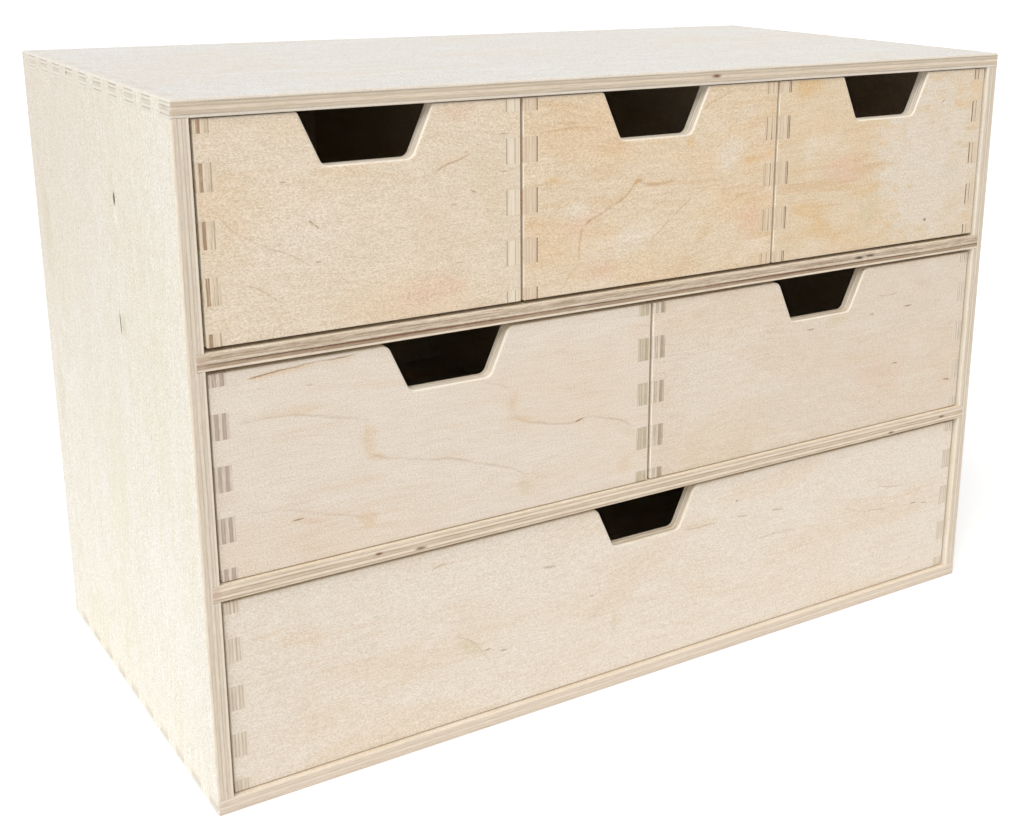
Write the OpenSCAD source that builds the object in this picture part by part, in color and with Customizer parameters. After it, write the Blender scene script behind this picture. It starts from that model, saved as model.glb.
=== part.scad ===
// Desktop chest of six small drawers in birch plywood.
// Origin at the middle of the base, +X to the right, +Y to the back, +Z up.

/* [Chest] */
// Width over the two sides
body_w = 400; // [300:1:560]
// Depth from the front edges to the back edges
body_d = 203; // [150:1:300]
// Height over the top and the bottom panel
body_h = 272; // [210:1:380]
// Thickness of the plywood of the chest
ply = 6.5; // [5:0.1:9]
// Width of one finger of the corner joints
finger_w = 10; // [8:0.5:16]
// Depth to which the shelves are let into the sides
dado_depth = 3; // [1.5:0.1:3.5]

/* [Back] */
// Thickness of the back panel
back_ply = 4; // [3:0.5:5]
// Distance of the back panel from the back edges
back_inset = 5; // [3:0.5:10]
// Depth of the groove round a thin panel
groove_depth = 3; // [1.5:0.1:3.5]
// Play between the edge of a thin panel and its groove
groove_play = 0.2; // [0.1:0.1:0.5]

/* [Drawers] */
// Thickness of the plywood of the drawers
drawer_ply = 6.5; // [5:0.1:9]
// Gap beside each drawer, and between two drawers
side_gap = 1.2; // [0.6:0.1:2]
// Height of a row that its drawers leave free
head_gap = 2; // [1.4:0.1:5]
// Gap over the drawers of the top row, which hang high in their bays
top_row_gap = 0.5; // [0.3:0.1:1]
// Gap under the drawers of the middle and the bottom row
rest_gap = 0.3; // [0.2:0.1:0.9]
// Room behind a drawer whose front is flush with the chest
back_room = 3.5; // [2.5:0.5:8]
// How far the fronts of the top row stand back
top_recess = 1; // [0.5:0.1:2]
// How far the fronts of the middle row stand back
middle_recess = 1.5; // [0.5:0.1:2]
// How far the front of the bottom drawer stands back
bottom_recess = 2; // [0.5:0.1:2]
// Thickness of a drawer's bottom board
floor_ply = 4; // [3:0.5:5]
// Height of a drawer's bottom board over the drawer's lower edge
floor_up = 6; // [4:0.5:12]

/* [Finger pull] */
// Width of the cut-out at the upper edge of the front
pull_top_w = 52.5; // [44:0.5:70]
// Width of the cut-out at its foot
pull_bottom_w = 35; // [24:0.5:42]
// Depth of the cut-out below the upper edge
pull_depth = 19.5; // [16:0.5:28]
// Radius of its two lower corners
pull_corner_r = 3.5; // [1:0.5:6]
// Radius at its two upper ends
pull_lip_r = 4; // [1:0.5:6]
// The same radius in the top row
top_row_lip_r = 1; // [0.5:0.5:6]

/* [Hidden] */
// Overrun of a cut past the face that it opens
spill = 1;
// Steps in each rounded corner of the cut-out
arc_steps = 6;
// Rows of drawers, counted from the bottom
ROWS = 3;
// Fingers and half fingers in the height of a drawer, as whole widths
DRAWER_UNITS = 8;

// Clear height of a row
row_h = (body_h - (ROWS + 1) * ply) / ROWS;
// Number of finger widths in the depth, the last one cut short by the back edge
finger_count = ceil(body_d / finger_w);
// Front face of the back panel
back_y = body_d - back_inset - back_ply;
// Clear width between the sides
inner_w = body_w - 2 * ply;
// Height and length of a drawer
drawer_h = row_h - head_gap;
drawer_d = back_y - back_room;
// Width of a finger of the drawer joints
drawer_finger = drawer_h / DRAWER_UNITS;
// Lean of the cut-out's flanks from upright
pull_lean = atan((pull_top_w - pull_bottom_w) / 2 / pull_depth);

// Each drawer: its row from the bottom, its place from the left, the drawers in its row
TOP_LEFT = [2, 0, 3];
TOP_MIDDLE = [2, 1, 3];
TOP_RIGHT = [2, 2, 3];
MIDDLE_LEFT = [1, 0, 2];
MIDDLE_RIGHT = [1, 1, 2];
BOTTOM = [0, 0, 1];
// Gap under the drawers and standing-back of the fronts, by row
REST_GAPS = [rest_gap, rest_gap, head_gap - top_row_gap];
RECESSES = [bottom_recess, middle_recess, top_recess];
// Radius at the upper ends of the cut-out, by row
LIP_RADII = [pull_lip_r, pull_lip_r, top_row_lip_r];

// Birch as it looks on the chest, on the top row's fronts, on the others, and inside
CHEST_BIRCH = [0.93, 0.89, 0.82];
WARM_BIRCH = [0.87, 0.77, 0.61];
PALE_BIRCH = [0.89, 0.82, 0.71];
THIN_BIRCH = [0.85, 0.78, 0.66];

DRAWER_NAMES = ["top_left", "top_middle", "top_right", "middle_left", "middle_right", "bottom"];
BOARD_NAMES = ["front", "back", "side_left", "side_right", "floor"];
CHEST_NODES = ["side_left", "side_right", "top_panel", "bottom_panel", "shelf_upper", "shelf_lower",
    "back_panel"];

// Lower face of the panel under a row, 0 being the bottom panel
function panel_z(row) = row * (row_h + ply);
// Width of a drawer of its row
function drawer_w(d) = (inner_w - (d[2] + 1) * side_gap) / d[2];
// Left front lower corner of a drawer, from the chest's own corner
function drawer_at(d) = [
    ply + side_gap + d[1] * (drawer_w(d) + side_gap),
    RECESSES[d[0]],
    panel_z(d[0]) + ply + REST_GAPS[d[0]]
];
function arc(centre, r, from, to) = [
    for (i = [0 : arc_steps])
        let (a = from + (to - from) * i / arc_steps)
        centre + r * [cos(a), sin(a)]
];

// Moves the chest's left front lower corner to its place
module in_chest() translate([-body_w / 2, -body_d / 2, 0]) children();
module in_drawer(d) in_chest() translate(drawer_at(d)) children();

// ---- Chest ----

// Blocks that take every other finger out of the left-hand corner, from the front on
module corner_slots(first, low, high) {
    for (k = [first : 2 : finger_count - 1]) {
        start = k == 0 ? -spill : k * finger_w;
        end = k == finger_count - 1 ? body_d + spill : (k + 1) * finger_w;
        translate([-spill, start, low]) cube([ply + spill, end - start, high - low]);
    }
}

// The space of the back panel, and with play the groove round it
module back_space(play) {
    edge = ply - groove_depth + (groove_play - play);
    translate([edge, back_y, edge])
        cube([body_w - 2 * edge, back_ply, body_h - 2 * edge]);
}

module shelf_space(row) {
    translate([ply - dado_depth, 0, panel_z(row)])
        cube([inner_w + 2 * dado_depth, back_y, ply]);
}

module side_board() {
    difference() {
        cube([ply, body_d, body_h]);
        corner_slots(0, -spill, ply);
        corner_slots(0, body_h - ply, body_h + spill);
        shelf_space(1);
        shelf_space(2);
        back_space(groove_play);
    }
}

module side_left() color(CHEST_BIRCH) in_chest() side_board();

module side_right() color(CHEST_BIRCH) mirror([1, 0, 0]) in_chest() side_board();

module cross_board() {
    difference() {
        cube([body_w, body_d, ply]);
        corner_slots(1, -spill, ply + spill);
        translate([body_w, 0, 0]) mirror([1, 0, 0]) corner_slots(1, -spill, ply + spill);
    }
}

module top_panel() {
    color(CHEST_BIRCH) in_chest() difference() {
        translate([0, 0, body_h - ply]) cross_board();
        back_space(groove_play);
    }
}

module bottom_panel() {
    color(CHEST_BIRCH) in_chest() difference() {
        cross_board();
        back_space(groove_play);
    }
}

module shelf_upper() color(CHEST_BIRCH) in_chest() shelf_space(2);

module shelf_lower() color(CHEST_BIRCH) in_chest() shelf_space(1);

module back_panel() color(THIN_BIRCH) in_chest() back_space(0);

// ---- Drawers ----

// Blocks that take fingers out of a drawer's left front corner.
// The sides own the half fingers at the ends, the front and the back the first whole one.
module drawer_slots(first, last) {
    for (unit = [first : 2 : last])
        translate([-spill, -spill, (unit - 0.5) * drawer_finger])
            cube([drawer_ply + spill, drawer_ply + spill, drawer_finger]);
}

module drawer_slots_of_sides() drawer_slots(0, DRAWER_UNITS);

module drawer_slots_of_front() drawer_slots(1, DRAWER_UNITS - 1);

// The space of a drawer's bottom board, and with play the groove round it
module floor_space(d, play) {
    edge = drawer_ply - groove_depth + (groove_play - play);
    translate([edge, edge, floor_up])
        cube([drawer_w(d) - 2 * edge, drawer_d - 2 * edge, floor_ply]);
}

// Outline of the finger cut-out, its middle at x = 0 and the drawer's upper edge at y = 0
module pull_outline(lip_r) {
    half_top = pull_top_w / 2;
    half_bottom = pull_bottom_w / 2;
    tangent = 1 / tan((90 + pull_lean) / 2);
    corner = arc([half_bottom - tangent * pull_corner_r, pull_corner_r - pull_depth],
        pull_corner_r, -90, -pull_lean);
    lip_x = half_top + tangent * lip_r;
    lip = arc([lip_x, -lip_r], lip_r, 180 - pull_lean, 90);
    right = concat(corner, lip, [[lip_x, spill]]);
    left = [for (i = [len(right) - 1 : -1 : 0]) [-right[i][0], right[i][1]]];
    polygon(concat(right, left));
}

module end_board(d) {
    difference() {
        cube([drawer_w(d), drawer_ply, drawer_h]);
        drawer_slots_of_sides();
        translate([drawer_w(d), 0, 0]) mirror([1, 0, 0]) drawer_slots_of_sides();
        floor_space(d, groove_play);
    }
}

module drawer_front(d, birch) {
    color(birch) in_drawer(d) difference() {
        end_board(d);
        translate([drawer_w(d) / 2, drawer_ply + spill, drawer_h])
            rotate([90, 0, 0]) linear_extrude(drawer_ply + 2 * spill)
                pull_outline(LIP_RADII[d[0]]);
    }
}

module drawer_back(d, birch) {
    color(birch) in_drawer(d) translate([0, drawer_d, 0]) mirror([0, 1, 0]) end_board(d);
}

module flank_board(d) {
    difference() {
        cube([drawer_ply, drawer_d, drawer_h]);
        drawer_slots_of_front();
        translate([0, drawer_d, 0]) mirror([0, 1, 0]) drawer_slots_of_front();
        floor_space(d, groove_play);
    }
}

module drawer_side_left(d, birch) color(birch) in_drawer(d) flank_board(d);

module drawer_side_right(d, birch) {
    color(birch) in_drawer(d) translate([drawer_w(d), 0, 0]) mirror([1, 0, 0]) flank_board(d);
}

module drawer_floor(d) color(THIN_BIRCH) in_drawer(d) floor_space(d, 0);

// ---- The whole ----

side_left();
side_right();
top_panel();
bottom_panel();
shelf_upper();
shelf_lower();
back_panel();

drawer_front(TOP_LEFT, WARM_BIRCH);  // top_left_drawer_front
drawer_back(TOP_LEFT, WARM_BIRCH);  // top_left_drawer_back
drawer_side_left(TOP_LEFT, WARM_BIRCH);  // top_left_drawer_side_left
drawer_side_right(TOP_LEFT, WARM_BIRCH);  // top_left_drawer_side_right
drawer_floor(TOP_LEFT);  // top_left_drawer_floor

drawer_front(TOP_MIDDLE, WARM_BIRCH);  // top_middle_drawer_front
drawer_back(TOP_MIDDLE, WARM_BIRCH);  // top_middle_drawer_back
drawer_side_left(TOP_MIDDLE, WARM_BIRCH);  // top_middle_drawer_side_left
drawer_side_right(TOP_MIDDLE, WARM_BIRCH);  // top_middle_drawer_side_right
drawer_floor(TOP_MIDDLE);  // top_middle_drawer_floor

drawer_front(TOP_RIGHT, WARM_BIRCH);  // top_right_drawer_front
drawer_back(TOP_RIGHT, WARM_BIRCH);  // top_right_drawer_back
drawer_side_left(TOP_RIGHT, WARM_BIRCH);  // top_right_drawer_side_left
drawer_side_right(TOP_RIGHT, WARM_BIRCH);  // top_right_drawer_side_right
drawer_floor(TOP_RIGHT);  // top_right_drawer_floor

drawer_front(MIDDLE_LEFT, PALE_BIRCH);  // middle_left_drawer_front
drawer_back(MIDDLE_LEFT, PALE_BIRCH);  // middle_left_drawer_back
drawer_side_left(MIDDLE_LEFT, PALE_BIRCH);  // middle_left_drawer_side_left
drawer_side_right(MIDDLE_LEFT, PALE_BIRCH);  // middle_left_drawer_side_right
drawer_floor(MIDDLE_LEFT);  // middle_left_drawer_floor

drawer_front(MIDDLE_RIGHT, PALE_BIRCH);  // middle_right_drawer_front
drawer_back(MIDDLE_RIGHT, PALE_BIRCH);  // middle_right_drawer_back
drawer_side_left(MIDDLE_RIGHT, PALE_BIRCH);  // middle_right_drawer_side_left
drawer_side_right(MIDDLE_RIGHT, PALE_BIRCH);  // middle_right_drawer_side_right
drawer_floor(MIDDLE_RIGHT);  // middle_right_drawer_floor

drawer_front(BOTTOM, PALE_BIRCH);  // bottom_drawer_front
drawer_back(BOTTOM, PALE_BIRCH);  // bottom_drawer_back
drawer_side_left(BOTTOM, PALE_BIRCH);  // bottom_drawer_side_left
drawer_side_right(BOTTOM, PALE_BIRCH);  // bottom_drawer_side_right
drawer_floor(BOTTOM);  // bottom_drawer_floor
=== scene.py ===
"""Looks of the desktop mini drawers: a birch plywood chest with six finger-jointed drawers.

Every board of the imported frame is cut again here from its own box, with its finger joints, grooves
and sanded edges, and dressed in a procedural birch plywood. Board sizes and the figure in the
veneers are in millimetres, lengths in Blender in metres.
"""

from __future__ import annotations

import logging
import math
from dataclasses import dataclass, field, replace
from enum import Enum
from functools import reduce
from itertools import product
from typing import Callable, Iterable, Optional, Sequence, Union

import bmesh
import bpy
from mathutils import Matrix, Vector

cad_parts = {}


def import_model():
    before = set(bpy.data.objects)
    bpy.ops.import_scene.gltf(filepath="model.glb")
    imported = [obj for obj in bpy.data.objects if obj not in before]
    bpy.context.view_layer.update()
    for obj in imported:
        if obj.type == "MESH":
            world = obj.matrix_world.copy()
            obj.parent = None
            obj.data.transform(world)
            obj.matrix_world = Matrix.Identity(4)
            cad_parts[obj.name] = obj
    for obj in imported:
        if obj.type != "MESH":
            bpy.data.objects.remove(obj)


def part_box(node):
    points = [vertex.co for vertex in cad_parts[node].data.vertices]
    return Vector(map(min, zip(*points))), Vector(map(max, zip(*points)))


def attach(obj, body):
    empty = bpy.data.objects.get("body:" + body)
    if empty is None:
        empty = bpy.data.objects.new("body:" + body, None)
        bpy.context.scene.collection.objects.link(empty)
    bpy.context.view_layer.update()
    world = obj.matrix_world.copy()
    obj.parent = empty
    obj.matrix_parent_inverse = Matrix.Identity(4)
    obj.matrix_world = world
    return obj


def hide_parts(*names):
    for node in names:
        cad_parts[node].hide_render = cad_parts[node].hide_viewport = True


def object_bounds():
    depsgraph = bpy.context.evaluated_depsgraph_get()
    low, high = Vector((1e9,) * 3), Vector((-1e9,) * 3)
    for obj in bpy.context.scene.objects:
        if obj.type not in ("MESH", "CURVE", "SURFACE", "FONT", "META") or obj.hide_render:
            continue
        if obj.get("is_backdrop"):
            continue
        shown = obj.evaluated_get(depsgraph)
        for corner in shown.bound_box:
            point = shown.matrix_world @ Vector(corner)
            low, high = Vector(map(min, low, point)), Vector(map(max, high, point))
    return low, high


log = logging.getLogger("mini_drawers")

MM = 0.001
NEAR = 1e-3  # mm within which two planes are one
SPILL = 2.0  # mm by which a cutter reaches past what it cuts
SQUARE = 0.99  # how far a normal points along an axis, for a face square to it
UPRIGHT = 0.1  # how far a normal may point along an axis that its face runs along

Triple = tuple[float, float, float]
Pair = tuple[float, float]
Cell = tuple[int, int, int]
Socket = bpy.types.NodeSocket
Value = Union[Socket, float, Sequence[float]]


# ---------------------------------------------------------------- named options


class Axis(Enum):
    """An axis of the frame."""

    X = 0
    Y = 1
    Z = 2


class Side(Enum):
    """The part of a board's skin that a face lies on."""

    LEFT = "left"
    RIGHT = "right"
    FRONT = "front"
    REAR = "rear"
    UNDER = "under"
    UPPER = "upper"
    JOINT = "joint"
    PULL = "pull"


class Share(Enum):
    """Which fingers of a corner a board owns, counted from the first."""

    EVEN = 0
    ODD = 1


class Tint(Enum):
    """Colour that a stain in the veneer, a painted shade or a painted light leans to, as the eye
    sees it (sRGB).
    """

    TAN = (219, 186, 143)
    BLUSH = (225, 186, 160)
    OLIVE = (204, 190, 148)
    PALE = (232, 220, 203)
    # Painted shade: the left side darker towards its upper rear, where less light falls
    PAINTED_SHADE = (222, 211, 196)
    SAND = (226, 213, 195)
    # A pale spot on the left side, and painted light on its lower front
    MILK = (249, 245, 236)
    HONEY = (222, 184, 128)
    GREY = (202, 190, 176)
    ROSE = (198, 168, 150)
    KNOT = (78, 64, 52)
    RUST = (122, 84, 62)


# ---------------------------------------------------------------- shapes


@dataclass(frozen=True)
class Block:
    """A box in millimetres along the frame's axes."""

    low: Triple
    high: Triple

    @classmethod
    def of_node(cls, node: str) -> "Block":
        """The box of a CAD node at rest."""
        low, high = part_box(node)
        return cls(
            tuple(round(v / MM, 2) for v in low), tuple(round(v / MM, 2) for v in high)
        )

    def grown(self, x: float, y: float, z: float) -> "Block":
        """The box with these amounts added at both ends of each axis."""
        by = (x, y, z)
        return Block(
            tuple(v - b for v, b in zip(self.low, by)),
            tuple(v + b for v, b in zip(self.high, by)),
        )

    def holds(self, point: Sequence[float]) -> bool:
        """Whether a point lies inside."""
        return all(a < p < b for a, p, b in zip(self.low, point, self.high))

    def middle(self) -> Vector:
        """The box's middle."""
        return (Vector(self.low) + Vector(self.high)) / 2

    def size(self) -> Vector:
        """The box's lengths."""
        return Vector(self.high) - Vector(self.low)


@dataclass(frozen=True)
class Fingers:
    """The spans that the fingers of a corner joint take along the corner."""

    start: float
    end: float
    first: float
    width: float

    def spans(self, share: Share) -> list[Pair]:
        """The spans of the even or the odd fingers.

        Args:
            share: which fingers.

        Returns:
            The two ends of each finger, the first finger being even.
        """
        edges = [self.start, self.start + self.first]
        while edges[-1] < self.end - NEAR:
            edges.append(min(edges[-1] + self.width, self.end))
        return list(zip(edges, edges[1:]))[share.value :: 2]


@dataclass(frozen=True)
class Pull:
    """The angled finger cut-out in the upper edge of a drawer front."""

    top_width: float = 52.5
    foot_width: float = 35.0
    depth: float = 19.5
    corner_radius: float = 3.5
    lip_radius: float = 4.0
    steps: int = 10

    def outline(self) -> list[Pair]:
        """The right half of the outline, from the foot up.

        Returns:
            Points from the middle of the cut-out at the drawer's upper edge.
        """
        lean = math.atan((self.top_width - self.foot_width) / 2 / self.depth)
        tangent = 1 / math.tan((math.pi / 2 + lean) / 2)
        right = self._arc(
            self.foot_width / 2 - tangent * self.corner_radius,
            self.corner_radius - self.depth,
            self.corner_radius,
            -math.pi / 2,
            -lean,
        )
        lip_x = self.top_width / 2 + tangent * self.lip_radius
        right += self._arc(
            lip_x, -self.lip_radius, self.lip_radius, math.pi - lean, math.pi / 2
        )
        return right + [(lip_x, SPILL)]

    def _arc(
        self, x: float, z: float, radius: float, start: float, end: float
    ) -> list[Pair]:
        """Points on an arc.

        Args:
            x: across, of the arc's centre.
            z: up, of the arc's centre.
            radius: the arc's radius.
            start: the first angle.
            end: the last angle.

        Returns:
            The points, both ends included.
        """
        turns = [start + (end - start) * i / self.steps for i in range(self.steps + 1)]
        return [(x + radius * math.cos(a), z + radius * math.sin(a)) for a in turns]

    def cutter(self, front: Block) -> bpy.types.Object:
        """A prism that cuts this shape out of a drawer front.

        Args:
            front: the box of the drawer front.

        Returns:
            The prism as an object, to be removed after use.
        """
        right = self.outline()
        loop = right + [(-x, z) for x, z in reversed(right)]
        middle = front.middle()
        shape = bmesh.new()
        rings = []
        for y in (front.low[1] - SPILL, front.high[1] + SPILL):
            rings.append(
                [shape.verts.new((middle.x + x, y, front.high[2] + z)) for x, z in loop]
            )
        shape.faces.new(rings[0])
        shape.faces.new(reversed(rings[1]))
        for i, corner in enumerate(rings[0]):
            after = (i + 1) % len(loop)
            shape.faces.new((rings[0][after], corner, rings[1][i], rings[1][after]))
        bmesh.ops.recalc_face_normals(shape, faces=shape.faces)
        return placed("pull_cutter", shape)

    def owns(self, front: Block, point: Vector) -> bool:
        """Whether a point of a drawer front lies on the cut-out's wall.

        Args:
            front: the box of the drawer front.
            point: the point.

        Returns:
            Whether it does.
        """
        middle = front.middle()
        half = self.top_width / 2 + self.lip_radius
        return (
            abs(point.x - middle.x) < half
            and point.z > front.high[2] - self.depth - NEAR
        )


@dataclass(frozen=True)
class Easing:
    """How far each kind of edge of a board is sanded round, in millimetres.

    Pairs that aren't named are `rest`, edges of joints and grooves `joint`.
    """

    pairs: dict[frozenset[Side], float] = field(default_factory=dict)
    rest: float = 0.35
    joint: float = 0.1
    pull_front: float = 1.0
    pull_rear: float = 0.6

    def width(self, one: Side, other: Side) -> float:
        """The rounding between two faces.

        Args:
            one: where the first face lies.
            other: where the second face lies.

        Returns:
            The width of the rounding.
        """
        both = frozenset((one, other))
        if Side.JOINT in both:
            return self.joint
        if Side.PULL in both:
            if Side.FRONT in both:
                return self.pull_front
            return self.pull_rear if Side.REAR in both else 0.0
        return self.pairs.get(both, self.rest)


def eased(*rules: tuple[Side, Side, float], **others: float) -> Easing:
    """Makes an easing from its named pairs.

    Args:
        rules: two sides and the rounding of the edge between them.
        others: the easing's other fields.

    Returns:
        The easing.
    """
    return Easing({frozenset((a, b)): width for a, b, width in rules}, **others)


def placed(name: str, shape: bmesh.types.BMesh) -> bpy.types.Object:
    """Turns a bmesh into an object in the scene.

    Args:
        name: the object's name.
        shape: the bmesh, which is freed.

    Returns:
        The object.
    """
    mesh = bpy.data.meshes.new(name)
    shape.to_mesh(mesh)
    shape.free()
    made = bpy.data.objects.new(name, mesh)
    bpy.context.scene.collection.objects.link(made)
    return made


def finger_slots(
    board: Block, others: Sequence[Block], spans: Sequence[Pair], along: Axis
) -> list[Block]:
    """The slots that the fingers of other boards take out of one board.

    Args:
        board: the board that is cut.
        others: the boards whose fingers pass through it.
        spans: the two ends of each of those fingers.
        along: the axis that the corners run along.

    Returns:
        The slots.
    """
    slots = []
    for start, end in spans:
        for other in others:
            low = [max(a, b) for a, b in zip(board.low, other.low)]
            high = [min(a, b) for a, b in zip(board.high, other.high)]
            low[along.value], high[along.value] = start, end
            slots.append(Block(tuple(low), tuple(high)))
    return slots


def with_modifiers(made: bpy.types.Object) -> None:
    """Gives an object the mesh that its modifiers make, and removes them.

    Args:
        made: the object.
    """
    graph = bpy.context.evaluated_depsgraph_get()
    result = bpy.data.meshes.new_from_object(
        made.evaluated_get(graph), preserve_all_data_layers=True, depsgraph=graph
    )
    before = made.data
    made.modifiers.clear()
    made.data = result
    bpy.data.meshes.remove(before)


# ---------------------------------------------------------------- boards


@dataclass
class Board:
    """One plywood board, cut from its CAD node's box.

    Args:
        node: the CAD node that it stands for.
        body: the CAD body that it rides on.
        slot: the record's material slot; not used.
        finish: its plywood.
        grain: the axis along the face veneers.
        through: the axis through the board.
        cuts: the boxes taken out for joints and grooves.
        easing: how its edges are sanded.
        number: seed of its own figure.
        pull: the finger cut-out, if it has one.
    """

    node: str
    body: str
    slot: str
    finish: "Plywood"
    grain: Axis
    through: Axis
    cuts: list[Block]
    easing: Easing
    number: int
    pull: Optional[Pull] = None

    FLAT = math.radians(1)  # a smaller turn between two cells' faces makes one face of them
    CREASE = 0.9  # two faces whose normals agree more than this have no arris between them
    ROUNDING = 3  # segments of a sanded arris

    def build(self) -> bpy.types.Object:
        """Makes the board and puts it in the place of its node.

        Returns:
            The finished object.
        """
        box = Block.of_node(self.node)
        made = placed(self.node + "_plywood", self._cells(box))
        if self.pull:
            self._cut_pull(made, box)
        self._ease(made, box)
        self._mark(made, box)
        made.data.materials.clear()
        made.data.materials.append(self.finish.material())
        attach(made, self.body)
        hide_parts(self.node)
        log.info("%s: %d faces", made.name, len(made.data.polygons))
        return made

    def _cells(self, box: Block) -> bmesh.types.BMesh:
        """The board's solid, from the cells between the planes of its box and its cuts.

        Args:
            box: the board's box.

        Returns:
            A closed bmesh in millimetres.
        """
        planes = [self._planes(box, axis) for axis in range(3)]
        counts = [len(p) - 1 for p in planes]

        def filled(cell: Cell) -> bool:
            """Whether a cell is wood.

            Args:
                cell: the cell's indices.

            Returns:
                Whether it lies in the board and in none of its cuts.
            """
            if any(i < 0 or i >= n for i, n in zip(cell, counts)):
                return False
            middle = [(p[i] + p[i + 1]) / 2 for p, i in zip(planes, cell)]
            return not any(cut.holds(middle) for cut in self.cuts)

        shape = bmesh.new()
        corners: dict[Cell, bmesh.types.BMVert] = {}

        def corner(at: Cell) -> bmesh.types.BMVert:
            """The vertex at a grid point, made at its first use.

            Args:
                at: the grid point's indices.

            Returns:
                The vertex.
            """
            if at not in corners:
                corners[at] = shape.verts.new([p[i] for p, i in zip(planes, at)])
            return corners[at]

        for cell in filter(filled, product(*map(range, counts))):
            for axis, step in product(range(3), (0, 1)):
                beyond = list(cell)
                beyond[axis] += 2 * step - 1
                if not filled(tuple(beyond)):
                    self._skin(corner, shape, cell, axis, step)
        bmesh.ops.dissolve_limit(
            shape, angle_limit=self.FLAT, verts=shape.verts, edges=shape.edges
        )
        return shape

    def _planes(self, box: Block, axis: int) -> list[float]:
        """Where the board's box and its cuts begin and end along an axis.

        Args:
            box: the board's box.
            axis: the axis.

        Returns:
            The planes' places in order, each once.
        """
        low, high = box.low[axis], box.high[axis]
        found = [low, high]
        for cut in self.cuts:
            for value in (cut.low[axis], cut.high[axis]):
                if low + NEAR < value < high - NEAR:
                    found.append(value)
        found.sort()
        return [v for v, before in zip(found, [low - 1] + found) if v > before + NEAR]

    @staticmethod
    def _skin(
        corner: Callable[[Cell], bmesh.types.BMVert],
        shape: bmesh.types.BMesh,
        cell: Cell,
        axis: int,
        step: int,
    ) -> None:
        """Adds one outward face of a cell.

        Args:
            corner: gives the vertex at a grid point.
            shape: the bmesh.
            cell: the cell's indices.
            axis: the axis that the face is square to.
            step: 0 for the face at the axis's low end, 1 for the other.
        """
        one, two = (axis + 1) % 3, (axis + 2) % 3
        loop = []
        for a, b in ((0, 0), (1, 0), (1, 1), (0, 1)):
            at = list(cell)
            at[axis] += step
            at[one] += a
            at[two] += b
            loop.append(corner(tuple(at)))
        shape.faces.new(loop if step else reversed(loop))

    def _cut_pull(self, made: bpy.types.Object, box: Block) -> None:
        """Cuts the finger pull out of a front.

        Args:
            made: the front.
            box: its box.
        """
        cutter = self.pull.cutter(box)
        cut = made.modifiers.new("pull", "BOOLEAN")
        cut.operation, cut.solver, cut.object = "DIFFERENCE", "EXACT", cutter
        with_modifiers(made)
        mesh = cutter.data
        bpy.data.objects.remove(cutter)
        bpy.data.meshes.remove(mesh)

    def _side_of(self, face: bmesh.types.BMFace, box: Block) -> Side:
        """Where on the board's skin a face lies.

        Args:
            face: the face.
            box: the board's box.

        Returns:
            The side, the wall of the pull, or the joint for any other cut.
        """
        centre = face.calc_center_median()
        if self.pull and abs(face.normal.y) < UPRIGHT and self.pull.owns(box, centre):
            if centre.z < box.high[2] - NEAR:
                return Side.PULL
        names = (
            (Side.LEFT, Side.RIGHT),
            (Side.FRONT, Side.REAR),
            (Side.UNDER, Side.UPPER),
        )
        for axis, (low, high) in enumerate(names):
            if face.normal[axis] < -SQUARE and centre[axis] < box.low[axis] + NEAR:
                return low
            if face.normal[axis] > SQUARE and centre[axis] > box.high[axis] - NEAR:
                return high
        return Side.JOINT

    def _ease(self, made: bpy.types.Object, box: Block) -> None:
        """Rounds the board's edges, each kind by its own width, and turns it into metres.

        Args:
            made: the board.
            box: its box.
        """
        shape = bmesh.new()
        shape.from_mesh(made.data)
        weights = shape.edges.layers.float.new("bevel_weight_edge")
        sides = {face: self._side_of(face, box) for face in shape.faces}
        widths = {}
        for edge in shape.edges:
            if len(edge.link_faces) == 2 and edge.is_convex:
                one, other = edge.link_faces
                if one.normal.dot(other.normal) < self.CREASE:
                    widths[edge] = self.easing.width(sides[one], sides[other])
        widest = max(widths.values())
        for edge, width in widths.items():
            edge[weights] = width / widest
        shape.to_mesh(made.data)
        shape.free()
        made.data.shade_smooth()
        bevel = made.modifiers.new("sanded", "BEVEL")
        bevel.limit_method, bevel.use_clamp_overlap = "WEIGHT", False
        bevel.width, bevel.segments = widest, self.ROUNDING
        level = made.modifiers.new("level", "WEIGHTED_NORMAL")
        level.keep_sharp = True
        with_modifiers(made)
        made.data.transform(Matrix.Scale(MM, 4))

    def _mark(self, made: bpy.types.Object, box: Block) -> None:
        """Stores what the plywood needs to know at each point.

        `plank` is the place along the grain, across it and through the board, in mm from its
        middle. `rim` is, by face, whether it cuts across the grain and how far it turns away
        from the board's flat. `board` is its number.

        Args:
            made: the board, in metres.
            box: its box.
        """
        mesh = made.data
        across = ({0, 1, 2} - {self.grain.value, self.through.value}).pop()
        order = (self.grain.value, across, self.through.value)
        middle = box.middle()
        mesh.attributes.new("plank", "FLOAT_VECTOR", "POINT")
        mesh.attributes.new("rim", "FLOAT_VECTOR", "FACE")
        mesh.attributes.new("board", "FLOAT", "FACE")
        # Each new attribute moves the others, so they are looked up once all are there
        plank, rim, board = (mesh.attributes[n].data for n in ("plank", "rim", "board"))
        for vertex, stored in zip(mesh.vertices, plank):
            place = vertex.co / MM - middle
            stored.vector = [place[axis] for axis in order]
        for face, stored, own in zip(mesh.polygons, rim, board):
            along, over, off = (abs(face.normal[axis]) for axis in order)
            stored.vector = (float(along > over), 1.0 - off * off, 0.0)
            own.value = float(self.number)


# ---------------------------------------------------------------- node trees


def paint(colour: Triple) -> tuple[float, float, float, float]:
    """A colour as seen (sRGB, 0 to 255) as Blender's linear one.

    Args:
        colour: red, green and blue.

    Returns:
        The linear colour, opaque.
    """
    parts = [c / 255 for c in colour]
    linear = [
        p / 12.92 if p <= 0.04045 else ((p + 0.055) / 1.055) ** 2.4 for p in parts
    ]
    return (*linear, 1.0)


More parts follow.
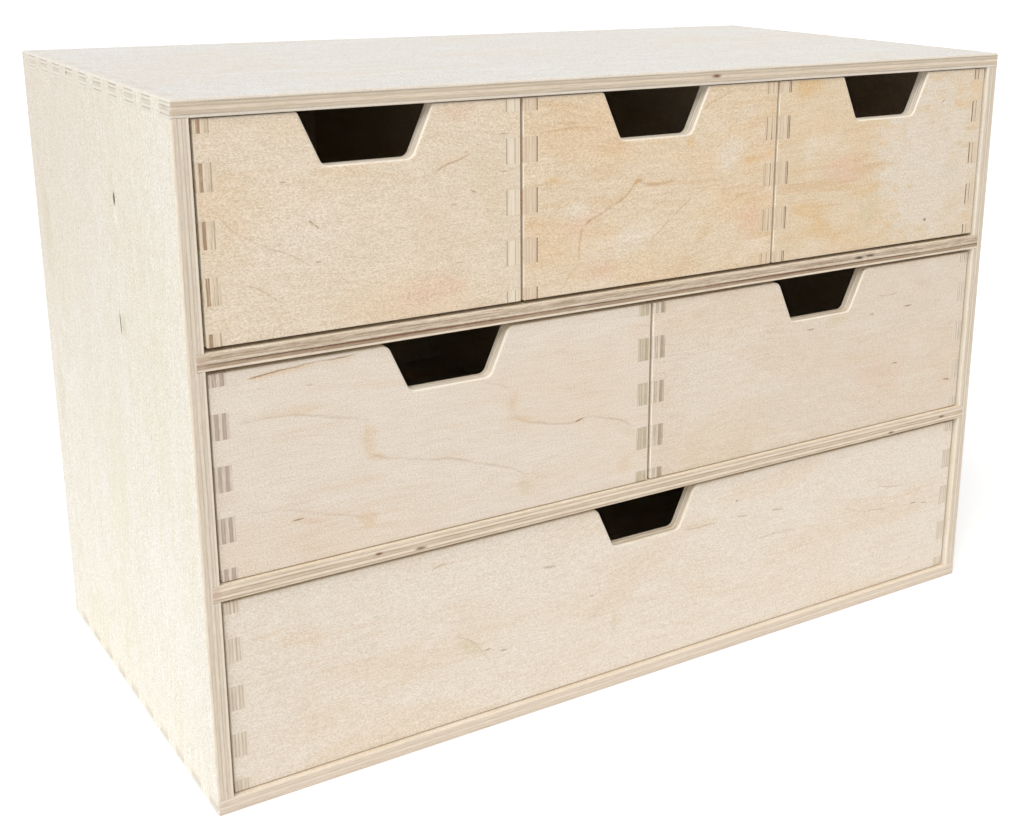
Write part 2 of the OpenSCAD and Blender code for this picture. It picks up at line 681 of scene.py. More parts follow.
class Graph:
    """Adds nodes to one node tree and links them."""

    def __init__(self, tree: bpy.types.NodeTree) -> None:
        """Takes the tree to fill."""
        self.tree = tree

    def node(self, kind: str, **settings: object) -> bpy.types.Node:
        """Adds a node.

        Args:
            kind: the node's Blender type.
            settings: its properties.

        Returns:
            The node.
        """
        made = self.tree.nodes.new(kind)
        for name, value in settings.items():
            setattr(made, name, value)
        return made

    def feed(self, socket: Socket, value: Value) -> None:
        """Links a socket to another one, or sets its value.

        Args:
            socket: the socket that is fed.
            value: another socket, or a plain value.
        """
        if isinstance(value, bpy.types.NodeSocket):
            self.tree.links.new(value, socket)
        else:
            socket.default_value = value

    def feed_all(self, sockets: Iterable[Socket], values: Iterable[Value]) -> None:
        """Feeds several sockets in their order.

        Args:
            sockets: the sockets.
            values: a value for each, or for the first of them.
        """
        for socket, value in zip(sockets, values):
            self.feed(socket, value)

    def math(self, operation: str, *values: Value, clamp: bool = False) -> Socket:
        """A Math node.

        Args:
            operation: the node's operation.
            values: its inputs, in order.
            clamp: whether the result stays between 0 and 1.

        Returns:
            Its result.
        """
        made = self.node("ShaderNodeMath", operation=operation, use_clamp=clamp)
        self.feed_all(made.inputs, values)
        return made.outputs[0]

    def product(self, *values: Value) -> Socket:
        """Several values multiplied, from the first on."""
        return reduce(lambda one, two: self.math("MULTIPLY", one, two), values)

    def total(self, *values: Value) -> Socket:
        """Several values added, from the first on."""
        return reduce(lambda one, two: self.math("ADD", one, two), values)

    def opposite(self, value: Value) -> Socket:
        """1 less a value."""
        return self.math("SUBTRACT", 1.0, value)

    def most(self, values: Iterable[Socket]) -> Optional[Socket]:
        """The highest of several values.

        Args:
            values: the values.

        Returns:
            The highest, or None if there are none.
        """
        found: Optional[Socket] = None
        for value in values:
            found = value if found is None else self.math("MAXIMUM", found, value)
        return found

    def vector(self, operation: str, *values: Value) -> Socket:
        """A Vector Math node with a vector as its result.

        Args:
            operation: the node's operation.
            values: its inputs, in order.

        Returns:
            Its result.
        """
        made = self.node("ShaderNodeVectorMath", operation=operation)
        self.feed_all(made.inputs, values)
        return made.outputs["Vector"]

    def split(self, vector: Socket) -> tuple[Socket, Socket, Socket]:
        """The three parts of a vector.

        Args:
            vector: the vector.

        Returns:
            Its X, Y and Z.
        """
        made = self.node("ShaderNodeSeparateXYZ")
        self.feed(made.inputs[0], vector)
        return made.outputs[0], made.outputs[1], made.outputs[2]

    def join(self, x: Value, y: Value, z: Value) -> Socket:
        """A vector from its three parts.

        Args:
            x: the first part.
            y: the second part.
            z: the third part.

        Returns:
            The vector.
        """
        made = self.node("ShaderNodeCombineXYZ")
        self.feed_all(made.inputs, (x, y, z))
        return made.outputs[0]

    def noise(
        self,
        place: Socket,
        stretch: Triple,
        detail: float = 2.0,
        roughness: float = 0.5,
        distortion: float = 0.0,
    ) -> Socket:
        """Noise with its own frequency along each axis.

        Args:
            place: where it is read.
            stretch: its frequencies, per unit of place.
            detail: its octaves.
            roughness: how strong the finer octaves are.
            distortion: how far it is warped.

        Returns:
            A value round 0.5.
        """
        made = self.node("ShaderNodeTexNoise", noise_dimensions="3D", normalize=True)
        self.feed(made.inputs["Vector"], self.vector("MULTIPLY", place, stretch))
        made.inputs["Scale"].default_value = 1.0
        made.inputs["Detail"].default_value = detail
        made.inputs["Roughness"].default_value = roughness
        made.inputs["Distortion"].default_value = distortion
        return made.outputs[0]

    def rise(
        self, value: Value, low: Value, high: Value, start: float = 0, end: float = 1
    ) -> Socket:
        """A smooth step.

        Args:
            value: what it follows.
            low: the value at which it starts.
            high: the value at which it ends.
            start: the result up to low.
            end: the result from high on.

        Returns:
            The step's result.
        """
        made = self.node("ShaderNodeMapRange", interpolation_type="SMOOTHSTEP")
        self.feed_all(made.inputs, (value, low, high, start, end))
        return made.outputs[0]

    def swing(self, value: Socket, reach: Value) -> Socket:
        """A noise value as a swing of this reach to both sides of 0."""
        centred = self.math("SUBTRACT", value, 0.5)
        return self.product(centred, self.product(reach, 2.0))

    def blend(
        self, amount: Value, first: Value, second: Value, mode: str = "MIX"
    ) -> Socket:
        """A Mix node for colours.

        Args:
            amount: how much of the second colour.
            first: the colour underneath.
            second: the colour on top.
            mode: how they mix.

        Returns:
            The mixed colour.
        """
        made = self.node("ShaderNodeMix", data_type="RGBA", blend_type=mode)
        made.clamp_factor = True
        inputs = [made.inputs[index] for index in (0, 6, 7)]
        self.feed_all(inputs, (amount, first, second))
        return made.outputs[2]

    def between(self, amount: Value, first: Value, second: Value) -> Socket:
        """A Mix node for values.

        Args:
            amount: how much of the second value.
            first: the first value.
            second: the second value.

        Returns:
            The mixed value.
        """
        made = self.node("ShaderNodeMix", data_type="FLOAT")
        made.clamp_factor = True
        inputs = [made.inputs[index] for index in (0, 2, 3)]
        self.feed_all(inputs, (amount, first, second))
        return made.outputs[0]

    def attribute(self, name: str) -> bpy.types.Node:
        """Reads an attribute that the board stores."""
        return self.node(
            "ShaderNodeAttribute", attribute_type="GEOMETRY", attribute_name=name
        )

    def place(
        self, group: bpy.types.NodeTree, **inputs: Value
    ) -> bpy.types.NodeOutputs:
        """Places a node group.

        Args:
            group: the group.
            inputs: its inputs by name, an underscore standing for a space.

        Returns:
            Its outputs.
        """
        made = self.node("ShaderNodeGroup", node_tree=group)
        for name, value in inputs.items():
            self.feed(made.inputs[name.replace("_", " ")], value)
        return made.outputs


class Kind(Enum):
    """Kind of a node group's socket."""

    NUMBER = "NodeSocketFloat"
    PLACE = "NodeSocketVector"
    COLOUR = "NodeSocketColor"


class Effect:
    """A shader node group that is built once and used by many materials."""

    name = "effect"
    takes: tuple[tuple[str, Kind, Value], ...] = ()
    gives: tuple[tuple[str, Kind], ...] = ()

    def group(self) -> bpy.types.NodeTree:
        """The group, built at its first use.

        Returns:
            The node tree.
        """
        found = bpy.data.node_groups.get(self.name)
        if found:
            return found
        tree = bpy.data.node_groups.new(self.name, "ShaderNodeTree")
        for name, kind, value in self.takes:
            made = tree.interface.new_socket(
                name, in_out="INPUT", socket_type=kind.value
            )
            made.default_value = value
        for name, kind in self.gives:
            tree.interface.new_socket(name, in_out="OUTPUT", socket_type=kind.value)
        graph = Graph(tree)
        entry = graph.node("NodeGroupInput").outputs
        result = graph.node("NodeGroupOutput").inputs
        for name, value in self.fill(graph, entry).items():
            graph.feed(result[name], value)
        return tree

    def fill(self, graph: Graph, entry: bpy.types.NodeOutputs) -> dict[str, Socket]:
        """Makes the group's nodes.

        Args:
            graph: the group's tree.
            entry: the group's inputs.

        Returns:
            Each output's value by its name.
        """
        raise NotImplementedError


class BirchVeneer(Effect):
    """The face of a rotary-cut birch veneer: clouds, streaks, rings, flecks, fibre, pores."""

    name = "birch_veneer"
    takes = (
        ("Plank", Kind.PLACE, (0.0, 0.0, 0.0)),
        ("Board", Kind.NUMBER, 0.0),
        ("Base", Kind.COLOUR, (0.8, 0.7, 0.55, 1.0)),
        ("Warm", Kind.COLOUR, (0.7, 0.5, 0.3, 1.0)),
        ("Pale", Kind.COLOUR, (0.9, 0.8, 0.7, 1.0)),
        ("Mark", Kind.COLOUR, (0.4, 0.25, 0.12, 1.0)),
        ("Honey", Kind.COLOUR, (0.7, 0.45, 0.2, 1.0)),
        ("Cloud", Kind.NUMBER, 0.5),
        ("Streaks", Kind.NUMBER, 0.1),
        ("Rings", Kind.NUMBER, 0.2),
        ("Flecks", Kind.NUMBER, 0.3),
        ("Fibre", Kind.NUMBER, 0.05),
        ("Ripple", Kind.NUMBER, 0.02),
    )
    gives = (("Color", Kind.COLOUR), ("Light", Kind.COLOUR), ("Height", Kind.NUMBER))

    APART = (53.1, 29.7, 17.3)  # mm between the figures of one board and the next
    # How often each layer repeats in a mm: along the grain, across it, through the board
    SWAY = (0.010, 0.018, 0.02)
    CLOUDS = (0.012, 0.034, 0.03)
    PATCHES = (0.030, 0.085, 0.06)
    STREAKS = (0.02, 0.40, 0.4)
    STREAKY_PLACES = (0.028, 0.055, 0.05)
    RING_HEIGHT = (0.0060, 0.0210, 0.012)
    RINGED_PLACES = (0.022, 0.050, 0.03)
    FLECK_CELLS = (0.045, 0.32, 0.2)
    FIBRES = (0.11, 0.95, 0.95)
    PORES = (1.3, 2.4, 2.4)
    RIPPLES = (0.16, 0.045, 0.05)
    SWAY_REACH = 9.0  # mm
    RING_COUNT = 15.0  # rings from the lowest to the highest ring height
    FIBRE_SHARE = 0.55  # of the fibre amount
    PORE_SHARE = 2.1  # of the fibre amount
    PORE_RELIEF = 0.6  # of the fibres' relief
    BROWNING = (0.8, 1.0, 1.4)  # how far red, green and blue swing

    def fill(self, graph: Graph, entry: bpy.types.NodeOutputs) -> dict[str, Socket]:
        """Makes the group's nodes.

        Args:
            graph: the group's tree.
            entry: the group's inputs.

        Returns:
            The colour, the lightness that multiplies it, and the relief.
        """
        own = graph.vector("MULTIPLY", entry["Board"], self.APART)
        place = graph.vector("ADD", entry["Plank"], own)
        # A slow sway carries every layer along, as the grain of one log does
        sway = graph.swing(graph.noise(place, self.SWAY, 1.0), self.SWAY_REACH)
        bent = graph.vector("ADD", place, graph.join(0.0, sway, 0.0))
        cloud = graph.rise(graph.noise(bent, self.CLOUDS, 2.0, 0.5, 0.4), 0.46, 0.66)
        cloud = graph.product(cloud, entry["Cloud"])
        colour = graph.blend(cloud, entry["Base"], entry["Warm"])
        patch = graph.rise(graph.noise(bent, self.PATCHES, 3.0, 0.55, 0.6), 0.50, 0.68)
        patch = graph.product(patch, entry["Cloud"])
        colour = graph.blend(patch, colour, entry["Pale"])
        # Warm streaks gather in some places and leave others out
        streak = graph.rise(graph.noise(bent, self.STREAKS, 3.0, 0.6), 0.46, 0.66)
        where = graph.rise(graph.noise(place, self.STREAKY_PLACES, 1.0), 0.42, 0.60)
        streak = graph.product(streak, where, entry["Streaks"])
        colour = graph.blend(streak, colour, entry["Honey"])
        # Year rings: contour lines of a slow height, sharp on one side
        height = graph.noise(bent, self.RING_HEIGHT, 1.4, 0.45, 0.5)
        ring = graph.math("FRACT", graph.product(height, self.RING_COUNT))
        sharp, soft = graph.rise(ring, 0.0, 0.02), graph.rise(ring, 0.03, 0.16, 1.0, 0.0)
        where = graph.rise(graph.noise(place, self.RINGED_PLACES, 1.0), 0.48, 0.62)
        line = graph.product(graph.product(sharp, soft), where, entry["Rings"])
        colour = graph.blend(line, colour, entry["Mark"])
        # Flecks: one short dash in a few of many long cells
        cells = graph.node("ShaderNodeTexVoronoi", voronoi_dimensions="3D")
        cells.inputs["Scale"].default_value = 1.0
        stretched = graph.vector("MULTIPLY", bent, self.FLECK_CELLS)
        graph.feed(cells.inputs["Vector"], stretched)
        dash = graph.rise(cells.outputs["Distance"], 0.04, 0.13, 1.0, 0.0)
        few = graph.rise(graph.split(cells.outputs["Color"])[0], 0.80, 0.94)
        dash = graph.product(dash, few, entry["Flecks"])
        colour = graph.blend(dash, colour, entry["Mark"])
        # Fibre, pores and the cross ripple change the lightness only
        fibre = graph.noise(bent, self.FIBRES, 3.0, 0.62)
        pore = graph.noise(bent, self.PORES, 2.0, 0.65)
        ripple = graph.noise(bent, self.RIPPLES, 2.0, 0.5)
        light = graph.total(
            graph.swing(fibre, graph.product(entry["Fibre"], self.FIBRE_SHARE)),
            graph.swing(pore, graph.product(entry["Fibre"], self.PORE_SHARE)),
            graph.swing(ripple, entry["Ripple"]),
        )
        # Dark fibre is browner than pale fibre, so red swings least and blue most
        grey = graph.join(light, light, light)
        light = graph.vector("MULTIPLY_ADD", grey, self.BROWNING, (1, 1, 1))
        relief = graph.total(fibre, graph.product(pore, self.PORE_RELIEF))
        return {"Color": colour, "Light": light, "Height": relief}


class PlyLayup(Effect):
    """The five plies that show wherever a board is cut through."""

    name = "ply_layup"
    takes = (
        ("Plank", Kind.PLACE, (0.0, 0.0, 0.0)),
        ("Rim", Kind.PLACE, (0.0, 0.0, 0.0)),
        ("Board", Kind.NUMBER, 0.0),
        ("Thickness", Kind.NUMBER, 6.5),
        *((f"Long {i}", Kind.NUMBER, 0.2) for i in range(1, 6)),
        *((f"End {i}", Kind.NUMBER, 0.2) for i in range(1, 6)),
        *((f"Glue {i}", Kind.NUMBER, 0.3) for i in range(1, 5)),
        ("Seam low", Kind.NUMBER, 0.0),
        ("Seam high", Kind.NUMBER, 0.0),
        ("Skin", Kind.NUMBER, 1.0),
    )
    gives = (("Dark", Kind.NUMBER), ("Cover", Kind.NUMBER), ("Line", Kind.NUMBER))

    # Shares of the board's thickness
    BOUNDARIES = (0.175, 0.39, 0.61, 0.825)  # where one ply meets the next
    SOFT = 0.018  # half the width over which two plies' colours meet
    SEAM = 0.068  # how far the dark of a glue line reaches to each side
    DRIFT_REACH = 0.03  # how far the plies wander
    RIM_LINE = (0.38, 0.45)  # where the joint line begins and is full, from the middle

    APART = (31.7, 47.9, 5.3)  # mm between the figures of one board and the next
    # How often each layer repeats in a mm: along the grain, across it, through the board
    DRIFT = (0.03, 0.03, 0.3)
    STREAKS = (0.055, 0.055, 2.4)
    DASHES = (0.22, 0.22, 2.0)
    SPECKS = (0.9, 0.9, 3.0)
    GLUED_PLACES = (0.035, 0.035, 0.9)

    def fill(self, graph: Graph, entry: bpy.types.NodeOutputs) -> dict[str, Socket]:
        """Makes the group's nodes.

        Args:
            graph: the group's tree.
            entry: the group's inputs.

        Returns:
            How dark the ply is, where plies cover the face, and the glue and joint lines.
        """
        through = graph.split(entry["Plank"])[2]
        end_on, turned, _ = graph.split(entry["Rim"])
        own = graph.vector("MULTIPLY", entry["Board"], self.APART)
        place = graph.vector("ADD", entry["Plank"], own)
        offset = graph.math("DIVIDE", through, entry["Thickness"])
        drift = graph.swing(graph.noise(place, self.DRIFT, 2.0), self.DRIFT_REACH)
        level = graph.total(offset, 0.5, drift)
        plies = [
            graph.between(end_on, entry[f"Long {i}"], entry[f"End {i}"])
            for i in range(1, 6)
        ]
        past = [
            graph.rise(level, at - self.SOFT, at + self.SOFT) for at in self.BOUNDARIES
        ]
        dark = plies[0]
        for step, ply in zip(past, plies[1:]):
            dark = graph.between(step, dark, ply)
        # Streaks, dashes and specks run along the ply as it shows
        streak = graph.noise(place, self.STREAKS, 3.0, 0.65)
        dash = graph.noise(place, self.DASHES, 2.0, 0.6)
        speck = graph.noise(place, self.SPECKS, 2.0, 0.6)
        dark = graph.total(dark, graph.swing(streak, 0.85), graph.swing(dash, 0.55))
        dark = graph.math("ADD", dark, graph.swing(speck, 0.3), clamp=True)
        # The glue is stronger in some places than in others
        glue = graph.most(
            self._glue_line(graph, level, at, entry[f"Glue {i}"])
            for i, at in enumerate(self.BOUNDARIES, 1)
        )
        where = graph.noise(place, self.GLUED_PLACES, 1.0)
        glue = graph.product(glue, graph.rise(where, 0.35, 0.6, 0.4, 1.0))
        begins, full = self.RIM_LINE
        low = graph.rise(offset, -full, -begins, 1.0, 0.0)
        high = graph.rise(offset, begins, full)
        joint = graph.most(
            (
                graph.product(low, entry["Seam low"]),
                graph.product(high, entry["Seam high"]),
            )
        )
        line = graph.most((glue, graph.product(joint, end_on)))
        line = graph.product(line, graph.rise(turned, 0.3, 0.9))
        inner = graph.product(past[0], graph.opposite(past[-1]))
        outer = graph.product(graph.rise(turned, 0.15, 0.5), entry["Skin"])
        return {"Dark": dark, "Cover": graph.most((inner, outer)), "Line": line}

    def _glue_line(
        self, graph: Graph, level: Socket, at: float, strength: Socket
    ) -> Socket:
        """The dark line of the glue between two plies."""
        off = graph.math("ABSOLUTE", graph.math("SUBTRACT", level, at))
        return graph.product(graph.rise(off, 0.0, self.SEAM, 1.0, 0.0), strength)


class FigureLine(Effect):
    """A brown ring line that follows a curve, crisp with a soft shade on one side."""

    name = "figure_line"
    takes = (
        ("Run", Kind.NUMBER, 0.0),
        ("Offset", Kind.NUMBER, 0.0),
        ("Wobble", Kind.NUMBER, 0.5),
        ("Vary", Kind.NUMBER, 0.5),
        ("From", Kind.NUMBER, 0.0),
        ("To", Kind.NUMBER, 10.0),
        ("Fade", Kind.NUMBER, 2.0),
        ("Width", Kind.NUMBER, 0.5),
        ("Shade", Kind.NUMBER, 4.0),
        ("Strength", Kind.NUMBER, 0.5),
    )
    gives = (("Line", Kind.NUMBER), ("Shade", Kind.NUMBER))

    WANDER = 0.8  # mm that the line strays from its curve

    def fill(self, graph: Graph, entry: bpy.types.NodeOutputs) -> dict[str, Socket]:
        """Makes the group's nodes.

        Args:
            graph: the group's tree.
            entry: the group's inputs.

        Returns:
            The masks of the line and of its shade.
        """
        off = graph.total(entry["Offset"], graph.swing(entry["Wobble"], self.WANDER))
        begun = graph.total(entry["From"], entry["Fade"])
        ending = graph.math("SUBTRACT", entry["To"], entry["Fade"])
        start = graph.rise(entry["Run"], entry["From"], begun)
        stop = graph.rise(entry["Run"], ending, entry["To"])
        window = graph.product(start, graph.opposite(stop))
        uneven = graph.rise(entry["Vary"], 0.30, 0.62, 0.35, 1.0)
        strength = (window, uneven, entry["Strength"])
        gone = graph.rise(graph.math("ABSOLUTE", off), 0.0, entry["Width"])
        past = graph.rise(off, graph.product(entry["Width"], -0.5), 0.3)
        fall = graph.rise(off, 0.0, entry["Shade"])
        return {
            "Line": graph.product(graph.opposite(gone), *strength),
            "Shade": graph.product(past, graph.opposite(fall), *strength),
        }


class SoftPatch(Effect):
    """A stain, a knot or a patch of painted shade or light: an ellipse with an uneven soft edge."""

    name = "soft_patch"
    takes = (
        ("Place", Kind.PLACE, (0.0, 0.0, 0.0)),
        ("Wobble", Kind.NUMBER, 0.5),
        ("Middle", Kind.PLACE, (0.0, 0.0, 0.0)),
        ("Turn", Kind.PLACE, (1.0, 0.0, 0.0)),
        ("Reach", Kind.PLACE, (1.0, 1.0, 1.0)),
        ("Ragged", Kind.NUMBER, 0.5),
        ("Core", Kind.NUMBER, 0.2),
        ("Strength", Kind.NUMBER, 0.5),
    )
    gives = (("Mask", Kind.NUMBER),)

    def fill(self, graph: Graph, entry: bpy.types.NodeOutputs) -> dict[str, Socket]:
        """Makes the group's nodes.

        Args:
            graph: the group's tree.
            entry: the group's inputs.

        Returns:
            The mask.
        """
        away = graph.vector("SUBTRACT", entry["Place"], entry["Middle"])
        x, y, _ = graph.split(away)
        cosine, sine, _ = graph.split(entry["Turn"])
        along = graph.total(graph.product(x, cosine), graph.product(y, sine))
        across = graph.math(
            "SUBTRACT", graph.product(y, cosine), graph.product(x, sine)
        )
        shares = graph.vector(
            "DIVIDE", graph.join(along, across, 0.0), entry["Reach"]
        )
        length = graph.node("ShaderNodeVectorMath", operation="LENGTH")
        graph.feed(length.inputs[0], shares)
        uneven = graph.swing(entry["Wobble"], entry["Ragged"])
        far = graph.total(length.outputs["Value"], uneven)
        mask = graph.opposite(graph.rise(far, entry["Core"], 1.0))
        return {"Mask": graph.product(mask, entry["Strength"])}


# ---------------------------------------------------------------- finishes


@dataclass(frozen=True)
class Veneer:
    """The face veneer of a board. Colours as seen, amounts from 0 to 1."""

    base: Triple
    warm: Triple = (226, 199, 164)
    pale: Triple = (233, 222, 208)
    mark: Triple = (176, 138, 96)
    honey: Triple = (214, 178, 132)
    cloud: float = 0.5
    streaks: float = 0.15
    rings: float = 0.06
    flecks: float = 0.14
    fibre: float = 0.21
    ripple: float = 0.012


@dataclass(frozen=True)
class Layup:
    """The plies in a board's edges, from its low face to its high face.

    Args:
        long: darkness of each ply on the edges along the face grain.
        end: darkness of each ply on the edges across the face grain.
        light: colour of a light ply as seen.
        dark: colour of a dark ply as seen.
        end_light: the same on the edges across the grain, if it differs there.
        end_dark: the same for a dark ply.
        thickness: the board's thickness in millimetres.
        line: colour of the glue lines and joint lines.
        glue: strength of each glue line.
        seams: strength of the joint line at the low and the high face, on the cross edges.
        skin: how far the cut colours reach over the two outer veneers.
    """

    long: tuple[float, ...] = (0.15, 0.6, 0.25, 0.6, 0.15)
    end: tuple[float, ...] = (0.5, 0.2, 0.5, 0.2, 0.5)
    light: Triple = (228, 212, 191)
    dark: Triple = (196, 176, 152)
    end_light: Optional[Triple] = None
    end_dark: Optional[Triple] = None
    thickness: float = 6.5
    line: Triple = (128, 98, 74)
    glue: tuple[float, ...] = (0.35, 0.35, 0.35, 0.35)
    seams: Pair = (0.0, 0.0)
    skin: float = 1.0


@dataclass(frozen=True)
class Line:
    """A ring line drawn through points of the face, along the grain and across it.

    Args:
        points: its points in millimetres from the board's middle.
        strength: how dark it is, from 0 to 1.
        width: half its width in millimetres.
        shade: how far its soft side reaches, below zero for the other side.
        upright: whether it runs across the grain, its points then being ordered upwards.
    """

    points: tuple[Pair, ...]
    strength: float = 0.4
    width: float = 0.55
    shade: float = 4.0
    upright: bool = False


@dataclass(frozen=True)
class Fleck:
    """A short dark dash along the grain, at its two ends in millimetres."""

    start: Pair
    end: Pair
    strength: float = 0.5
    width: float = 0.5


@dataclass(frozen=True)
class StainOrShade:
    """A soft patch on the face, a knot, or a patch of painted shade or painted light.

    Args:
        at: its middle, in millimetres along the grain and across it.
        reach: its half sizes.
        strength: how strong it is, from 0 to 1.
        tint: its colour.
        slant: its turn in degrees.
        ragged: how uneven its edge is.
        core: how much of it is full strength.
        edge: whether it lies in the front edge, its middle then being along that edge and
            through the board.
    """

    at: Pair
    reach: Pair
    strength: float = 0.4
    tint: Tint = Tint.TAN
    slant: float = 0.0
    ragged: float = 0.45
    core: float = 0.15
    edge: bool = False


@dataclass(frozen=True)
class Plywood:
    """A birch plywood finish: veneer, plies, the figure that its face really has, and any painted
    shade and light.
    """

    name: str
    veneer: Veneer
    layup: Layup = Layup()
    lines: tuple[Line, ...] = ()
    flecks: tuple[Fleck, ...] = ()
    stains_and_shades: tuple[StainOrShade, ...] = ()
    roughness: float = 0.62
    roughness_swing: float = 0.06
    specular: float = 0.28
    bump: float = 0.5
    relief: float = 0.00006

    SHADE = 0.42  # strength of the lines' soft side
    LINE_DEPTH = 0.3  # how far a line lies under the fibres' relief

    def material(self) -> bpy.types.Material:
        """The finish's material, built at its first use.

        Returns:
            The material.
        """
        found = bpy.data.materials.get(self.name)
        if found:
            return found
        made = bpy.data.materials.new(self.name)
        made.use_nodes = True
        made.node_tree.nodes.clear()
        graph = Graph(made.node_tree)
        plank = graph.attribute("plank").outputs["Vector"]
        rim = graph.attribute("rim").outputs["Vector"]
        board = graph.attribute("board").outputs["Fac"]
        face, height = self._face(graph, plank, board)
        colour = self._edges(graph, plank, rim, board, face)
        shader = graph.node("ShaderNodeBsdfPrincipled")
        graph.feed(shader.inputs["Base Color"], colour)
        smooth = self.roughness - self.roughness_swing
        rough = self.roughness + self.roughness_swing
        roughness = graph.rise(height, 0.5, 1.1, smooth, rough)
        graph.feed(shader.inputs["Roughness"], roughness)
        shader.inputs["Specular IOR Level"].default_value = self.specular
        bump = graph.node("ShaderNodeBump")
        bump.inputs["Strength"].default_value = self.bump
        bump.inputs["Distance"].default_value = self.relief
        graph.feed(bump.inputs["Height"], height)
        graph.feed(shader.inputs["Normal"], bump.outputs[0])
        output = graph.node("ShaderNodeOutputMaterial")
        graph.feed(output.inputs["Surface"], shader.outputs[0])
        return made

    def _face(
        self, graph: Graph, plank: Socket, board: Socket
    ) -> tuple[Socket, Socket]:
        """The colour and the relief of the face veneer with its figure and any painted shade and
        light.

        Args:
            graph: the material's tree.
            plank: the place on the board.
            board: the board's number.

        Returns:
            The colour and the height.
        """
        look = self.veneer
        grown = graph.place(
            BirchVeneer().group(),
            Plank=plank,
            Board=board,
            Base=paint(look.base),
            Warm=paint(look.warm),
            Pale=paint(look.pale),
            Mark=paint(look.mark),
            Honey=paint(look.honey),
            Cloud=look.cloud,
            Streaks=look.streaks,
            Rings=look.rings,
            Flecks=look.flecks,
            Fibre=look.fibre,
            Ripple=look.ripple,
        )
        colour, light, height = grown["Color"], grown["Light"], grown["Height"]
        if not (self.lines or self.flecks or self.stains_and_shades):
            return graph.blend(1.0, colour, light, "MULTIPLY"), height
        along, across, _ = graph.split(plank)
        rough = graph.noise(plank, (0.12, 0.20, 0.1), 3.0, 0.55)
        vary = graph.noise(plank, (0.07, 0.05, 0.05), 2.0)
        # Stains, and patches of painted shade and painted light, tint the face
        for stain_or_shade in self.stains_and_shades:
            if not stain_or_shade.edge:
                mask = self._stain_or_shade(graph, stain_or_shade, plank, rough)
                colour = graph.blend(mask, colour, paint(stain_or_shade.tint.value))
        drawn = [self._line(graph, line, along, across, rough, vary) for line in self.lines]
        shade = graph.most([pair[1] for pair in drawn])
        if shade:
            shade = graph.product(shade, self.SHADE)
            colour = graph.blend(shade, colour, paint(Tint.TAN.value))
        dashes = [self._fleck(graph, fleck, plank, rough) for fleck in self.flecks]
        line = graph.most([pair[0] for pair in drawn] + dashes)
        if line:
            colour = graph.blend(line, colour, paint(look.mark))
            sunk = graph.product(line, self.LINE_DEPTH)
            height = graph.math("SUBTRACT", height, sunk)
        return graph.blend(1.0, colour, light, "MULTIPLY"), height

    def _stain_or_shade(
        self, graph: Graph, stain_or_shade: StainOrShade, place: Socket, wobble: Socket
    ) -> Socket:
        """The mask of one stain, or of one patch of painted shade or light.

        Args:
            graph: the material's tree.
            stain_or_shade: the stain, or the patch of painted shade or light.
            place: the place that it is measured in.
            wobble: the noise of its edge.

        Returns:
            The mask.
        """
        turn = math.radians(stain_or_shade.slant)
        return graph.place(
            SoftPatch().group(),
            Place=place,
            Wobble=wobble,
            Middle=(*stain_or_shade.at, 0.0),
            Turn=(math.cos(turn), math.sin(turn), 0.0),
            Reach=(*stain_or_shade.reach, 1.0),
            Ragged=stain_or_shade.ragged,
            Core=stain_or_shade.core,
            Strength=stain_or_shade.strength,
        )["Mask"]

    def _fleck(self, graph: Graph, fleck: Fleck, place: Socket, wobble: Socket) -> Socket:
        """The mask of one short dash.

        Args:
            graph: the material's tree.
            fleck: the dash.
            place: the place on the board.
            wobble: the noise of its edge.

        Returns:
            The mask.
        """
        run = Vector(fleck.end) - Vector(fleck.start)
        middle = (Vector(fleck.end) + Vector(fleck.start)) / 2
        dash = StainOrShade(
            at=(middle.x, middle.y),
            reach=(run.length / 2 + 0.6, fleck.width),
            strength=fleck.strength,
            slant=math.degrees(math.atan2(run.y, run.x)),
            ragged=0.25,
            core=0.25,
        )
        return self._stain_or_shade(graph, dash, place, wobble)

    def _line(
        self,
        graph: Graph,
        line: Line,
        along: Socket,
        across: Socket,
        rough: Socket,
        vary: Socket,
    ) -> tuple[Socket, Socket]:
        """The masks of one ring line.

        Args:
            graph: the material's tree.
            line: the line.
            along: the place along the grain.
            across: the place across the grain.
            rough: the noise of its course.
            vary: the noise of its strength.

        Returns:
            The line itself and its shade.
        """
        points = [p[::-1] for p in line.points] if line.upright else line.points
        run, off = (across, along) if line.upright else (along, across)
        runs, offs = zip(*points)
        low, spread = min(offs) - 1, max(offs) - min(offs) + 2
        length = runs[-1] - runs[0]
        curve = graph.node("ShaderNodeFloatCurve")
        track = curve.mapping.curves[0]
        while len(track.points) < len(points):
            track.points.new(0.5, 0.5)
        for spot, (a, b) in zip(track.points, points):
            spot.location = ((a - runs[0]) / length, (b - low) / spread)
            spot.handle_type = "AUTO"
        curve.mapping.update()
        share = graph.math("DIVIDE", graph.math("SUBTRACT", run, runs[0]), length)
        graph.feed(curve.inputs["Value"], share)
        course = graph.total(graph.product(curve.outputs[0], spread), low)
        offset = graph.math("SUBTRACT", off, course)
        if line.shade < 0:
            offset = graph.product(offset, -1.0)
        outputs = graph.place(
            FigureLine().group(),
            Run=run,
            Offset=offset,
            Wobble=rough,
            Vary=vary,
            From=runs[0] - 1,
            To=runs[-1] + 1,
            Fade=min(4.0, length / 3),
            Width=line.width,
            Shade=abs(line.shade),
            Strength=line.strength,
        )
        return outputs["Line"], outputs["Shade"]

